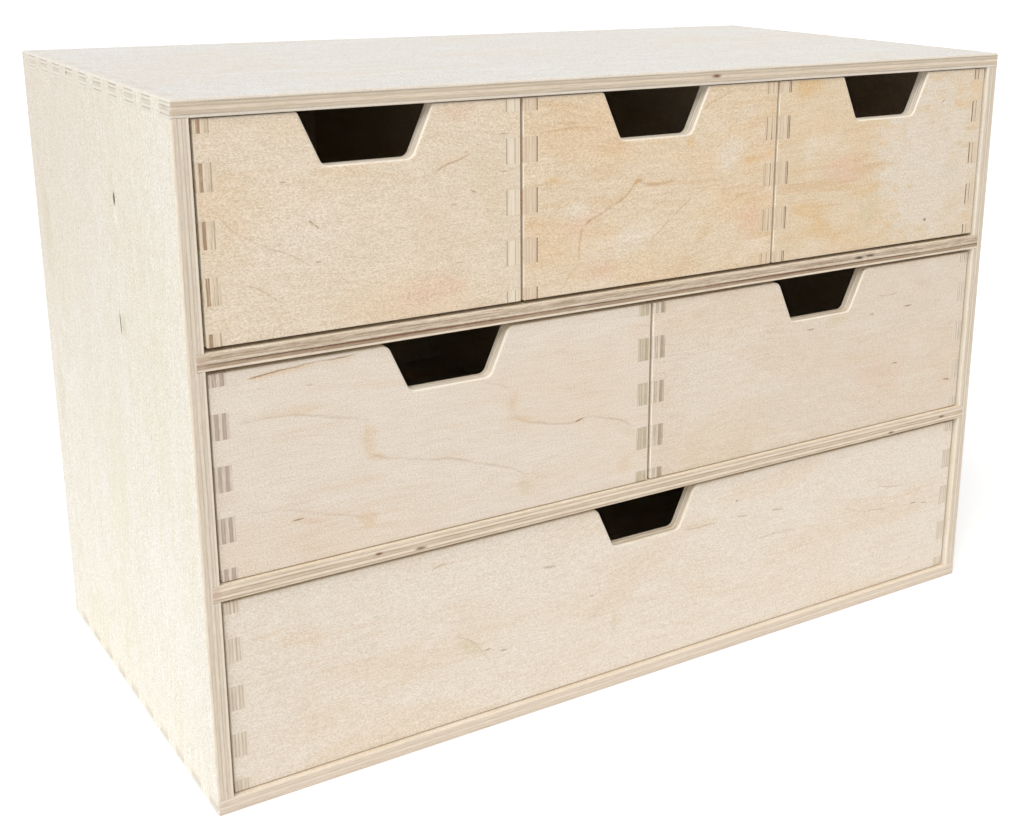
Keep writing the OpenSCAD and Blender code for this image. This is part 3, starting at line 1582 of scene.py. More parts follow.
    def _edges(
        self, graph: Graph, plank: Socket, rim: Socket, board: Socket, face: Socket
    ) -> Socket:
        """Lays the plies over the face's colour wherever the board is cut through.

        Args:
            graph: the material's tree.
            plank: the place on the board.
            rim: how the surface lies to the grain.
            board: the board's number.
            face: the face's colour.

        Returns:
            The colour of the whole board.
        """
        plies = self.layup
        rows = {"Long": plies.long, "End": plies.end, "Glue": plies.glue}
        shades = {
            f"{name}_{i}": value
            for name, row in rows.items()
            for i, value in enumerate(row, 1)
        }
        outputs = graph.place(
            PlyLayup().group(),
            Plank=plank,
            Rim=rim,
            Board=board,
            Thickness=plies.thickness,
            Seam_low=plies.seams[0],
            Seam_high=plies.seams[1],
            Skin=plies.skin,
            **shades,
        )
        end_on = graph.split(rim)[0]
        light, dark = paint(plies.light), paint(plies.dark)
        if plies.end_light:
            light = graph.blend(end_on, light, paint(plies.end_light))
        if plies.end_dark:
            dark = graph.blend(end_on, dark, paint(plies.end_dark))
        edge = graph.blend(outputs["Dark"], light, dark)
        edge = graph.blend(outputs["Line"], edge, paint(plies.line))
        # Marks in the front edge: knots, rust lines and darker patches
        edge_spots = [stain_or_shade for stain_or_shade in self.stains_and_shades if stain_or_shade.edge]
        if edge_spots:
            along, across, through = graph.split(plank)
            run = graph.between(end_on, along, across)
            depth = graph.between(end_on, across, along)
            front = graph.math("LESS_THAN", depth, 0.0)
            place = graph.join(run, through, 0.0)
            rough = graph.noise(plank, (0.6, 0.6, 1.2), 2.0)
            for spot in edge_spots:
                mask = graph.product(self._stain_or_shade(graph, spot, place, rough), front)
                edge = graph.blend(mask, edge, paint(spot.tint.value))
        return graph.blend(outputs["Cover"], face, edge)


# ---------------------------------------------------------------- chest


@dataclass
class Chest:
    """The carcass: two sides, top, bottom, two shelves and the back."""

    finger: float = 10.0
    groove_play: float = 0.2
    outer_arris: float = 0.9
    bay_arris: float = 0.5
    shelf_arris: float = 0.35
    inner_arris: float = 0.2
    shelf_end: float = 0.1
    back_arris: float = 0.15
    body: str = "chest"
    slot: str = "chest_plywood"
    back_slot: str = "thin_plywood"

    def build(self) -> list[bpy.types.Object]:
        """Makes the seven boards.

        Returns:
            The finished objects.
        """
        left, right = Block.of_node("side_left"), Block.of_node("side_right")
        top, bottom = Block.of_node("top_panel"), Block.of_node("bottom_panel")
        shelves = [Block.of_node("shelf_upper"), Block.of_node("shelf_lower")]
        back = Block.of_node("back_panel")
        groove = back.grown(self.groove_play, 0, self.groove_play)
        corner = Fingers(left.low[1], left.high[1], self.finger, self.finger)
        plan = []
        for node, side in (("side_left", left), ("side_right", right)):
            slots = finger_slots(side, (bottom, top), corner.spans(Share.EVEN), Axis.Y)
            cuts = [*slots, *shelves, groove]
            plan.append((node, Axis.Z, Axis.X, cuts, self._side_easing(node)))
        for node, panel in (("top_panel", top), ("bottom_panel", bottom)):
            slots = finger_slots(panel, (left, right), corner.spans(Share.ODD), Axis.Y)
            cuts = [*slots, groove]
            plan.append((node, Axis.X, Axis.Z, cuts, self._panel_easing(node)))
        shelf = eased(
            (Side.FRONT, Side.UPPER, self.shelf_arris),
            (Side.FRONT, Side.UNDER, self.shelf_arris),
            rest=self.shelf_end,
        )
        plan += [
            ("shelf_upper", Axis.X, Axis.Z, [], shelf),
            ("shelf_lower", Axis.Y, Axis.Z, [], shelf),
            ("back_panel", Axis.Z, Axis.Y, [], Easing(rest=self.back_arris)),
        ]
        made = []
        for number, (node, grain, through, cuts, easing) in enumerate(plan, 1):
            board = Board(
                node=node,
                body=self.body,
                slot=self.back_slot if node == "back_panel" else self.slot,
                finish=FINISHES[node],
                grain=grain,
                through=through,
                cuts=cuts,
                easing=easing,
                number=number,
            )
            made.append(board.build())
        return made

    def _side_easing(self, node: str) -> Easing:
        """How a side is sanded: its outer edges round, its bay edge less.

        Args:
            node: the side's node.

        Returns:
            The easing.
        """
        outer = Side.LEFT if node == "side_left" else Side.RIGHT
        inner = Side.RIGHT if node == "side_left" else Side.LEFT
        around = (Side.FRONT, Side.REAR, Side.UNDER, Side.UPPER)
        rules = [(outer, other, self.outer_arris) for other in around]
        rules.append((inner, Side.FRONT, self.bay_arris))
        return eased(*rules, rest=self.inner_arris)

    def _panel_easing(self, node: str) -> Easing:
        """How the top or the bottom is sanded: its outer edges round, its bay edge less.

        Args:
            node: the panel's node.

        Returns:
            The easing.
        """
        outer = Side.UPPER if node == "top_panel" else Side.UNDER
        inner = Side.UNDER if node == "top_panel" else Side.UPPER
        around = (Side.FRONT, Side.REAR, Side.LEFT, Side.RIGHT)
        rules = [(outer, other, self.outer_arris) for other in around]
        rules += [
            (end, other, self.outer_arris)
            for end in (Side.LEFT, Side.RIGHT)
            for other in (Side.FRONT, Side.REAR)
        ]
        rules.append((inner, Side.FRONT, self.bay_arris))
        return eased(*rules, rest=self.inner_arris)


# ---------------------------------------------------------------- drawers


@dataclass
class Drawer:
    """One drawer: front with its pull, back, two sides and a bottom board.

    Args:
        name: its name in the frame, without the last word.
        slot: the record's material slot of its boards.
        front: the plywood of the front.
        left: the plywood of the left side.
        right: the plywood of the right side.
        number: seed of its figure.
        flank: rounding of the front's upright edges.
        rim: rounding of the front's upper and lower edges, and of edges not named here.
        rear: rounding of the back's upright edges.
        joint: rounding of a side's edges that lie in a corner joint.
        floor_arris: rounding of the bottom board.
        half_finger: height of the half finger at each end of a corner.
        groove_play: play between the bottom board and its groove.
        floor_slot: the record's material slot of the bottom board.
        pull: the finger cut-out of the front.
    """

    name: str
    slot: str
    front: Plywood
    left: Plywood
    right: Plywood
    number: int
    flank: float = 0.45
    rim: float = 0.45
    rear: float = 0.5
    joint: float = 0.1
    floor_arris: float = 0.12
    half_finger: float = 5.0
    groove_play: float = 0.2
    floor_slot: str = "thin_plywood"
    pull: Pull = Pull()

    def build(self) -> list[bpy.types.Object]:
        """Makes the five boards.

        Returns:
            The finished objects.
        """
        stem = f"{self.name}_drawer"
        parts = ("front", "back", "side_left", "side_right", "floor")
        boxes = {part: Block.of_node(f"{stem}_{part}") for part in parts}
        groove = boxes["floor"].grown(self.groove_play, self.groove_play, 0)
        low, high = boxes["front"].low[2], boxes["front"].high[2]
        corner = Fingers(low, high, self.half_finger, 2 * self.half_finger)
        flanks = (boxes["side_left"], boxes["side_right"])
        ends = (boxes["front"], boxes["back"])
        plan = (
            ("front", self.front, Axis.X, Axis.Y, flanks, Share.EVEN),
            ("back", self.left, Axis.X, Axis.Y, flanks, Share.EVEN),
            ("side_left", self.left, Axis.Y, Axis.X, ends, Share.ODD),
            ("side_right", self.right, Axis.Y, Axis.X, ends, Share.ODD),
        )
        made = []
        for offset, (part, finish, grain, through, others, share) in enumerate(plan):
            slots = finger_slots(boxes[part], others, corner.spans(share), Axis.Z)
            board = Board(
                node=f"{stem}_{part}",
                body=stem,
                slot=self.slot,
                finish=finish,
                grain=grain,
                through=through,
                cuts=[*slots, groove],
                easing=self._easing(part),
                number=self.number + offset,
                pull=self.pull if part == "front" else None,
            )
            made.append(board.build())
        board = Board(
            node=f"{stem}_floor",
            body=stem,
            slot=self.floor_slot,
            finish=FINISHES["drawer_floor"],
            grain=Axis.X,
            through=Axis.Z,
            cuts=[],
            easing=Easing(rest=self.floor_arris),
            number=self.number + len(plan),
        )
        return made + [board.build()]

    def _easing(self, part: str) -> Easing:
        """How a board of the drawer is sanded.

        Args:
            part: the board's name in the drawer.

        Returns:
            The easing.
        """
        rules = [
            (Side.FRONT, Side.LEFT, self.flank),
            (Side.FRONT, Side.RIGHT, self.flank),
            (Side.REAR, Side.LEFT, self.rear),
            (Side.REAR, Side.RIGHT, self.rear),
        ]
        inner = {"side_left": Side.RIGHT, "side_right": Side.LEFT}.get(part)
        if inner:
            rules += [(end, inner, self.joint) for end in (Side.FRONT, Side.REAR)]
        return eased(*rules, rest=self.rim)


# ---------------------------------------------------------------- the plywoods of this chest

WARM = dict(warm=(229, 196, 155), pale=(234, 216, 194), fibre=0.25)
SOFT = dict(warm=(225, 202, 172), pale=(233, 222, 208))
IN_EDGE = dict(edge=True, ragged=0.2)

WARM_FACE = Veneer((229, 213, 190), **WARM)
FAINT_PLIES = Layup(long=(0.1, 0.3, 0.15, 0.3, 0.1))
SOFT_FACE = Veneer((226, 213, 193), **SOFT)
CLEAR_PLIES = Layup(long=(0.1, 0.4, 0.2, 0.4, 0.1))


def case(name: str, veneer: Veneer, plies: Layup, **own: object) -> Plywood:
    """The plywood of a drawer's sides, whose ends show in the corners of its front."""
    return Plywood(f"birch_case_{name}", veneer, replace(plies, **own))


CASE_TOP = case(
    "top_row",
    WARM_FACE,
    FAINT_PLIES,
    end=(0.1, 0.95, 0.1, 0.25, 0.05),
    light=(232, 215, 190),
    dark=(168, 139, 111),
    glue=(0.0, 0.0, 0.15, 0.55),
)
CASE_PALE = case(
    "pale_end",
    Veneer((228, 210, 184), **WARM),
    FAINT_PLIES,
    end=(0.0, 0.1, 0.0, 0.1, 0.0),
    light=(237, 223, 201),
    dark=(210, 187, 156),
    glue=(0.1, 0.0, 0.5, 0.2),
    seams=(0.6, 0.0),
)
CASE_BLUSH = case(
    "blush_end",
    WARM_FACE,
    FAINT_PLIES,
    end=(0.1, 0.35, 0.15, 0.3, 0.1),
    light=(231, 213, 188),
    dark=(212, 178, 146),
    line=(116, 76, 48),
    glue=(0.35, 0.25, 0.2, 0.25),
    seams=(0.2, 0.95),
)
CASE_LINED = case(
    "lined_end",
    WARM_FACE,
    FAINT_PLIES,
    end=(0.1, 0.25, 0.15, 0.2, 0.1),
    light=(231, 212, 185),
    dark=(198, 166, 130),
    line=(146, 104, 70),
    glue=(0.8, 0.1, 0.8, 0.1),
    seams=(0.25, 0.2),
)
CASE_TWIN = case(
    "twin_lines_left",
    WARM_FACE,
    FAINT_PLIES,
    end=(0.1, 0.25, 0.15, 0.2, 0.1),
    light=(231, 213, 187),
    dark=(198, 166, 130),
    line=(112, 70, 40),
    glue=(0.3, 0.1, 0.1, 0.85),
    seams=(0.2, 0.95),
)
CASE_TWIN_RIGHT = case(
    "twin_lines_right",
    WARM_FACE,
    FAINT_PLIES,
    end=(0.1, 0.2, 0.15, 0.2, 0.1),
    light=(230, 214, 190),
    dark=(198, 166, 130),
    line=(104, 62, 32),
    glue=(0.15, 1.0, 0.1, 0.1),
    seams=(1.0, 0.1),
)
CASE_GREY = case(
    "grey_end",
    SOFT_FACE,
    CLEAR_PLIES,
    end=(0.15, 0.9, 0.3, 1.0, 0.3),
    light=(230, 217, 201),
    dark=(184, 165, 148),
    glue=(0.3, 0.3, 0.3, 0.3),
)
CASE_OLIVE = case(
    "olive_end",
    SOFT_FACE,
    CLEAR_PLIES,
    end=(0.5, 0.8, 0.5, 0.9, 0.0),
    light=(230, 218, 199),
    dark=(190, 176, 147),
    glue=(0.3, 0.3, 0.3, 0.1),
)
CASE_HATCHED = case(
    "hatched_end",
    SOFT_FACE,
    CLEAR_PLIES,
    end=(0.0, 0.55, 0.2, 1.0, 0.7),
    light=(230, 218, 200),
    dark=(178, 158, 134),
    glue=(0.3, 0.2, 0.3, 0.1),
)
CASE_FAINT = case(
    "faint_end",
    Veneer((229, 215, 195), **SOFT),
    FAINT_PLIES,
    end=(0.1, 0.4, 0.2, 0.45, 0.15),
    light=(231, 219, 201),
    dark=(205, 188, 164),
    glue=(0.4, 0.4, 0.5, 0.4),
)

WALL = Layup(
    long=(0.1, 0.5, 0.2, 0.6, 0.1),
    end=(0.1, 0.4, 0.1, 0.5, 0.1),
    light=(244, 235, 219),
    dark=(218, 199, 172),
)
WALL_LOW = replace(WALL, long=(0.2, 0.75, 0.3, 0.85, 0.2), dark=(202, 180, 149))

FRONT_TOP_LEFT = Plywood(
    "birch_front_top_left",
    Veneer((228, 211, 188), **WARM, cloud=0.3, mark=(156, 118, 76)),
    WALL,
    lines=(
        Line(((26, 14), (31, 17), (35, 18), (42, 21)), 0.6),
        Line(((-57, 7), (-51, 0), (-41, -6), (-30, -11), (-24, -15)), 0.36, 0.5),
        Line(((-49, -19), (-44, -21), (-40, -24), (-35, -29)), 0.36),
        Line(((-10, 20), (-5, 16), (-3, 11)), 0.36),
    ),
    flecks=(
        Fleck((-24, 1.5), (-22, 0), 0.7),
        Fleck((-22, 0), (-20, -2), 0.7),
        Fleck((-22, -14), (-20, -14), 0.6),
        Fleck((41.5, 6.5), (44, 5.5), 0.6),
        Fleck((-34, 16), (-32, 16), 0.5),
        Fleck((53, 27), (59, 27), 0.5),
        Fleck((54, 12.5), (58, 12.5), 0.5),
        Fleck((33, 1.7), (35.5, 1.7), 0.4),
        Fleck((35, -21), (38, -21), 0.4),
    ),
    stains_and_shades=(
        StainOrShade((-30, 0), (32, 42), 0.45, Tint.PALE),
        StainOrShade((25, -30), (24, 9), 0.32, Tint.BLUSH, 12),
        StainOrShade((35, 37), (13, 5), 0.35, Tint.BLUSH),
        StainOrShade((26, -5), (10, 16), 0.18, Tint.BLUSH, 30),
        StainOrShade((50, 8), (12, 26), 0.2, Tint.OLIVE, 12),
    ),
)
FRONT_TOP_MIDDLE = Plywood(
    "birch_front_top_middle",
    Veneer((227, 207, 179), **WARM, cloud=0.5, streaks=0.35, mark=(182, 136, 90)),
    WALL,
    lines=(
        Line(((-46, -37), (-44.5, -35.5), (-42, -32), (-38, -28)), 0.45, 1.0, 3, True),
        Line(((-38, -28), (-38, -24), (-37.5, -19), (-36, -13)), 0.5, 1.0, 3, True),
        Line(
            (
                (-36, -13), (-32, -10.5), (-26, -8), (-20, -5), (-16, -3), (-12.5, 0),
                (-11, 2.5), (-9, 3.5), (-6, 2),
            ),
            0.55,
            1.0,
        ),
        Line(((-6, 2), (2, 1.2), (10, 2.5)), 0.45, 1.1, 3),
        Line(((-4, -25), (-2.5, -23), (2, -19), (7, -15), (12, -11), (19, -6)), 0.42, 0.6),
        Line(((19, -6), (25, -3), (34, 0)), 0.2, 0.6),
        Line(((38, -11), (43, -8.5), (50, -6.5)), 0.28, 0.7),
        Line(((22, 30), (28, 33), (35, 36), (40, 38)), 0.32, 0.9),
        Line(((-57, 26), (-45, 27), (-35, 27), (-27, 25)), 0.3, 0.9, -4),
        Line(((44, -28), (46, -22), (49, -16)), 0.2, 0.8, 4, True),
    ),
    stains_and_shades=(
        StainOrShade((-46, 20), (16, 9), 0.35, Tint.TAN, -3),
        StainOrShade((-20, 18), (12, 5), 0.35, Tint.TAN, 5),
        StainOrShade((-24, 9), (11, 5), 0.4, Tint.TAN, 10),
        StainOrShade((-50, 7), (7, 2.5), 0.5, Tint.HONEY),
        StainOrShade((-36, -10), (14, 9), 0.3, Tint.BLUSH, 30),
        StainOrShade((17, 17.5), (3.5, 4), 0.5, Tint.HONEY),
        StainOrShade((50, 7), (6.5, 2.4), 0.6, Tint.HONEY, 8),
        StainOrShade((60, 9), (5, 1.2), 0.4, Tint.HONEY, 15),
        StainOrShade((61.5, 28), (2.2, 2), 0.55, Tint.HONEY),
        StainOrShade((-10, 3), (4, 2.2), 0.5, Tint.HONEY, 20),
        StainOrShade((-39, -6), (9, 6), 0.6, Tint.PALE, 15),
        StainOrShade((-13, -20), (15, 10), 0.55, Tint.PALE, 15),
        StainOrShade((38, 11), (12, 10), 0.6, Tint.PALE, 40),
        StainOrShade((47, 27), (9, 6), 0.4, Tint.PALE, 30),
        StainOrShade((50, -19), (9, 10), 0.45, Tint.BLUSH, 40),
        StainOrShade((26, -22), (7, 4), 0.45, Tint.TAN, 40),
        StainOrShade((-27, -32), (10, 6), 0.4, Tint.BLUSH, 10),
    ),
)
FRONT_TOP_RIGHT = Plywood(
    "birch_front_top_right",
    Veneer(
        (225, 204, 174), **WARM, cloud=0.35, streaks=0.5, ripple=0.03, mark=(156, 108, 62)
    ),
    WALL,
    lines=(Line(((-4.5, 9), (-2, 13), (-3, 17)), 0.25, 0.6, -5, True),),
    flecks=(
        Fleck((36.5, 25.5), (38, 26.5), 0.6),
        Fleck((30.5, 16), (32, 16.5), 0.4),
        Fleck((-12, 4), (-9, 4.5), 0.3),
    ),
    stains_and_shades=(
        StainOrShade((33, -2), (46, 62), 0.9, Tint.SAND, 8, 0.9, 0.4),
        StainOrShade((-44, 9), (10, 8), 0.4, Tint.PALE, 10, 0.9),
        StainOrShade((-49, 37), (12, 8), 0.6, Tint.HONEY, -4, 0.9),
        StainOrShade((-24, -1), (18, 10), 0.45, Tint.BLUSH, -10, 0.9),
        StainOrShade((-44, -19), (16, 8), 0.45, Tint.HONEY, -6, 1.0),
        StainOrShade((-36, -29), (26, 7), 0.4, Tint.HONEY, -3, 1.0),
        StainOrShade((-12, -35), (34, 4), 0.3, Tint.HONEY, 3, 1.0),
        StainOrShade((-8, -12), (12, 4), 0.5, Tint.HONEY, 10, 1.0),
        StainOrShade((-6, -22), (10, 12), 0.4, Tint.OLIVE, 10, 1.0),
        StainOrShade((-12, 2), (10, 24), 0.25, Tint.TAN, 10, 0.9),
        StainOrShade((32, 19), (8, 6), 0.25, Tint.TAN, 45, 0.9),
        StainOrShade((45, -6), (11, 8), 0.2, Tint.OLIVE, 20, 0.9),
        StainOrShade((48, -24), (8, 14), 0.25, Tint.TAN, -50, 0.9),
        StainOrShade((30.5, -30), (1.1, 1.0), 0.85, Tint.RUST),
    ),
)
FRONT_MIDDLE_LEFT = Plywood(
    "birch_front_middle_left",
    Veneer((229, 216, 200), **SOFT, cloud=0.25, rings=0.04, mark=(158, 120, 78)),
    WALL,
    lines=(
        Line(((-82, 36), (-75, 37), (-60, 38), (-50, 38.5), (-40, 39)), 0.9, 0.5, -3),
        Line(((-86, 20), (-70, 20), (-60, 18.5), (-50, 16), (-42, 14), (-35, 12)), 0.2, 0.9),
        Line(
            (
                (-34, -2), (-30, -4), (-23, -6), (-10, -9), (-1, -10.5), (12, -15),
                (27, -20.5), (34, -25),
            ),
            0.24,
            0.9,
        ),
        Line(((14, 19), (19, 17), (25, 15), (27, 12)), 0.2, 0.9),
        Line(
            (
                (28, 2.5), (33, -1), (40, -3), (48, -5), (58, -6), (65, -5), (73, -7),
                (81, -9.5), (87, -14),
            ),
            0.24,
            0.9,
        ),
        Line(((-86, -15), (-70, -17), (-56, -21.5), (-39, -27), (-34, -31)), 0.18, 0.9),
    ),
    flecks=(
        Fleck((57, -6.3), (62.5, -4.8), 0.9, 0.5),
        Fleck((-68.5, -22), (-62, -21.7), 0.9, 0.5),
        Fleck((-60, 30), (-57, 30), 0.3),
    ),
    stains_and_shades=(
        StainOrShade((-36, 4), (5, 9), 0.42, Tint.TAN, 10, 0.8),
        StainOrShade((-32, -3), (6, 2.5), 0.35, Tint.TAN, -20, 0.7),
        StainOrShade((-37, -29), (5, 6), 0.36, Tint.TAN, 0, 0.8),
        StainOrShade((28, 8), (4, 9), 0.36, Tint.TAN, -10, 0.8),
        StainOrShade((32, 0), (7, 2.5), 0.3, Tint.TAN, -20, 0.7),
        StainOrShade((83, -14), (8, 4), 0.3, Tint.OLIVE, -30, 0.8),
        StainOrShade((83, -31), (6, 6), 0.3, Tint.TAN, 0, 0.8),
        StainOrShade((-58, -24), (12, 3), 0.35, Tint.BLUSH, -15, 0.7),
        StainOrShade((33, -30), (4, 7), 0.3, Tint.OLIVE, 0, 0.8),
        StainOrShade((-62, 21), (20, 3), 0.2, Tint.TAN, -4, 0.7),
        StainOrShade((-70, 37), (22, 1.6), 0.15, Tint.HONEY, 4, 0.5),
    ),
)
FRONT_MIDDLE_RIGHT = Plywood(
    "birch_front_middle_right",
    Veneer((224, 209, 190), **SOFT, cloud=0.3, rings=0.05, mark=(146, 112, 74)),
    WALL_LOW,
    lines=(Line(((36, 25.5), (42, 25), (49, 26)), 0.5, 0.5, 3),),
    flecks=(
        Fleck((53, 18), (59, 18), 0.8),
        Fleck((31, 17), (34, 17), 0.7),
        Fleck((-8, 15), (-3.5, 15), 0.65),
        Fleck((48, -10), (52, -10), 0.7),
        Fleck((84, -24), (91, -25), 0.8),
    ),
    stains_and_shades=(
        StainOrShade((10, 17), (10, 4), 0.35, Tint.OLIVE),
        StainOrShade((40, -15), (24, 16), 0.28, Tint.BLUSH),
        StainOrShade((86, -24), (9, 4), 0.3, Tint.BLUSH),
        StainOrShade((-62, 0), (36, 42), 0.4, Tint.PALE),
        StainOrShade((-12, -34.5), (10, 1.5), 0.5, Tint.PALE, -15),
    ),
)
FRONT_BOTTOM = Plywood(
    "birch_front_bottom",
    Veneer((231, 219, 203), **SOFT, cloud=0.3, rings=0.05, mark=(146, 112, 74)),
    WALL_LOW,
    lines=(
        Line(((-106, 32), (-100, 33)), 0.4),
        Line(((-180, 7), (-174, 7), (-167, 10)), 0.25),
        Line(((20.5, 19), (26, 19), (32, 19), (40, 19)), 0.4),
        Line(((52, 19), (57, 18)), 0.4),
        Line(((72.5, 17.5), (80, 16.5)), 0.4),
        Line(((141, 15), (145, 14), (151.5, 12.5), (160, 12)), 0.4),
        Line(((60, 5), (70, 5), (79, 5), (89, 3.5)), 0.22),
        Line(((120, 8), (130, 4), (141, 2.5), (150, 1)), 0.22),
        Line(((-97, -1), (-90, -4), (-84, -11), (-80, -18)), 0.3, 0.8, 5),
    ),
    flecks=(
        Fleck((-83, -11), (-79, -11), 0.6),
        Fleck((-75, -13.5), (-71.5, -13.5), 0.6),
        Fleck((-30, 0), (-28, 0), 0.5),
        Fleck((-190, -5), (-186, -4.5), 0.6),
        Fleck((165, 0.4), (170.5, 0), 0.7),
        Fleck((173, -1), (177.5, -1.5), 0.6),
        Fleck((50.5, 27), (51.5, 27), 0.7),
        Fleck((-56, 20), (-46, 18.5), 0.35, 1.0),
    ),
    stains_and_shades=(
        StainOrShade((-163, 17), (22, 6), 0.2, Tint.TAN, -20, 0.9),
        StainOrShade((-17, -16), (2.5, 9), 0.3, Tint.OLIVE),
        StainOrShade((-89, -8), (11, 4), 0.35, Tint.OLIVE, -40),
    ),
)

SIDE_EDGE = Layup(
    long=(0.35, 0.8, 0.5, 0.75, 0.05),
    end=(0.1, 0.5, 0.1, 0.5, 0.1),
    light=(238, 226, 207),
    dark=(211, 196, 176),
    end_light=(233, 228, 219),
    end_dark=(224, 215, 201),
    glue=(0.2, 0.3, 0.3, 0.2),
)

FINISHES: dict[str, Plywood] = {
    "side_left": Plywood(
        "birch_side_left",
        Veneer(
            (241, 236, 223),
            warm=(237, 230, 209),
            pale=(245, 240, 232),
            mark=(196, 180, 150),
            honey=(236, 225, 200),
            cloud=0.5,
            streaks=0.25,
            rings=0.05,
            flecks=0.08,
            fibre=0.30,
        ),
        SIDE_EDGE,
        stains_and_shades=(
            # Painted shade: the side darker towards its upper rear, as less light falls there
            StainOrShade((130, 90), (230, 300), 0.75, Tint.PAINTED_SHADE, ragged=0.1, core=0.0),
            # Painted light: the side lighter towards its lower front, as more light falls there
            StainOrShade((-70, -60), (60, 45), 0.35, Tint.MILK, ragged=0.1, core=0.0),
            StainOrShade((41, -26), (7, 5), 0.4, Tint.OLIVE, ragged=0.3),
            StainOrShade((60, 84), (46, 10), 0.2, Tint.OLIVE),
            StainOrShade((-20, 88), (30, 8), 0.2, Tint.OLIVE),
            StainOrShade((84, -27), (7, 3), 0.5, Tint.MILK),
            StainOrShade((98, -26.5), (8, 0.6), 0.45, Tint.GREY, ragged=0.3),
            StainOrShade((91, -27), (3.6, 1.5), 1.0, Tint.KNOT, ragged=0.3, core=0.35),
            StainOrShade((41, -22), (6.5, 0.8), 1.0, Tint.KNOT, 3, 0.3, 0.35),
            StainOrShade((-63, 36.5), (11, 0.9), 0.45, Tint.GREY, ragged=0.3),
        ),
    ),
    "side_right": Plywood(
        "birch_side_right",
        Veneer(
            (238, 231, 216), warm=(233, 222, 200), mark=(190, 166, 130), fibre=0.13
        ),
        SIDE_EDGE,
    ),
    "top_panel": Plywood(
        "birch_top",
        Veneer(
            (229, 225, 218),
            warm=(229, 220, 206),
            pale=(235, 232, 227),
            mark=(200, 186, 168),
            honey=(224, 214, 198),
            cloud=0.5,
            streaks=0.25,
            rings=0.06,
            flecks=0.1,
            fibre=0.30,
        ),
        Layup(
            long=(0.1, 0.8, 0.3, 0.8, 0.15),
            end=(0.0, 0.0, 0.5, 0.05, 0.0),
            light=(230, 214, 193),
            dark=(203, 186, 163),
            end_light=(236, 229, 215),
            end_dark=(200, 190, 171),
            line=(154, 142, 122),
            glue=(0.8, 0.1, 0.45, 0.95),
            skin=0.7,
        ),
        stains_and_shades=(StainOrShade((29, 0.3), (3.6, 1.2), 0.95, Tint.RUST, **IN_EDGE),),
    ),
    "bottom_panel": Plywood(
        "birch_bottom",
        Veneer((226, 212, 192), warm=(222, 204, 178), mark=(190, 166, 130)),
        Layup(
            long=(0.1, 0.5, 0.2, 0.5, 0.1),
            end=(0.0, 0.1, 0.5, 0.1, 0.0),
            light=(232, 218, 200),
            dark=(206, 190, 171),
            end_light=(238, 232, 219),
            end_dark=(204, 192, 174),
            glue=(0.25, 0.15, 0.25, 0.15),
        ),
    ),
    "shelf_upper": Plywood(
        "birch_shelf_upper",
        Veneer((226, 212, 190), **SOFT),
        Layup(
            long=(0.0, 1.0, 0.35, 0.65, 0.4),
            end=(0.3, 0.6, 0.3, 0.6, 0.3),
            light=(234, 218, 196),
            dark=(168, 144, 118),
            line=(88, 64, 46),
            glue=(0.35, 1.0, 0.3, 0.25),
        ),
        stains_and_shades=(
            StainOrShade((117, 1.3), (4.2, 1.0), 1.0, Tint.KNOT, **IN_EDGE),
            StainOrShade((124, 1.5), (4.2, 0.9), 0.9, Tint.KNOT, **IN_EDGE),
            StainOrShade((95, 1.2), (26, 0.8), 0.45, Tint.RUST, edge=True, ragged=0.4),
            StainOrShade((-110, -0.8), (100, 0.8), 0.8, Tint.RUST, edge=True, ragged=0.35),
            StainOrShade((75, -0.9), (110, 0.75), 0.7, Tint.RUST, edge=True, ragged=0.35),
            # A darker rose patch over the edge at the shelf's left end, where it meets the side
            StainOrShade((-195, 0), (2.6, 3.4), 0.6, Tint.ROSE, **IN_EDGE),
        ),
    ),
    "shelf_lower": Plywood(
        "birch_shelf_lower",
        Veneer((226, 212, 190), **SOFT),
        Layup(
            long=(0.55, 0.15, 0.7, 0.15, 0.5),
            end=(0.6, 0.1, 0.75, 0.1, 0.5),
            light=(236, 221, 200),
            dark=(200, 180, 155),
            line=(154, 126, 100),
            glue=(0.6, 0.5, 0.7, 0.5),
        ),
        stains_and_shades=(
            StainOrShade((-130, 0.6), (2.4, 0.9), 0.95, Tint.RUST, **IN_EDGE),
            StainOrShade((-112, -1.4), (3.6, 0.9), 0.9, Tint.RUST, **IN_EDGE),
            StainOrShade((146, -2.0), (3.0, 0.8), 0.9, Tint.RUST, **IN_EDGE),
            StainOrShade((181, -0.1), (2.8, 0.8), 0.95, Tint.RUST, **IN_EDGE),
            # A darker rose patch over the edge at the shelf's left end, where it meets the side
            StainOrShade((-195, 0), (2.6, 3.4), 0.6, Tint.ROSE, **IN_EDGE),
        ),
    ),
    "back_panel": Plywood(
        "birch_thin_back",
        Veneer((226, 211, 188), **SOFT, rings=0.35, cloud=0.6, flecks=0.5),
        Layup(thickness=4.0),
    ),
    "drawer_floor": Plywood(
        "birch_thin_floor",
        Veneer((225, 209, 185), **SOFT, rings=0.35, cloud=0.6, flecks=0.5),
        Layup(thickness=4.0),
    ),
}


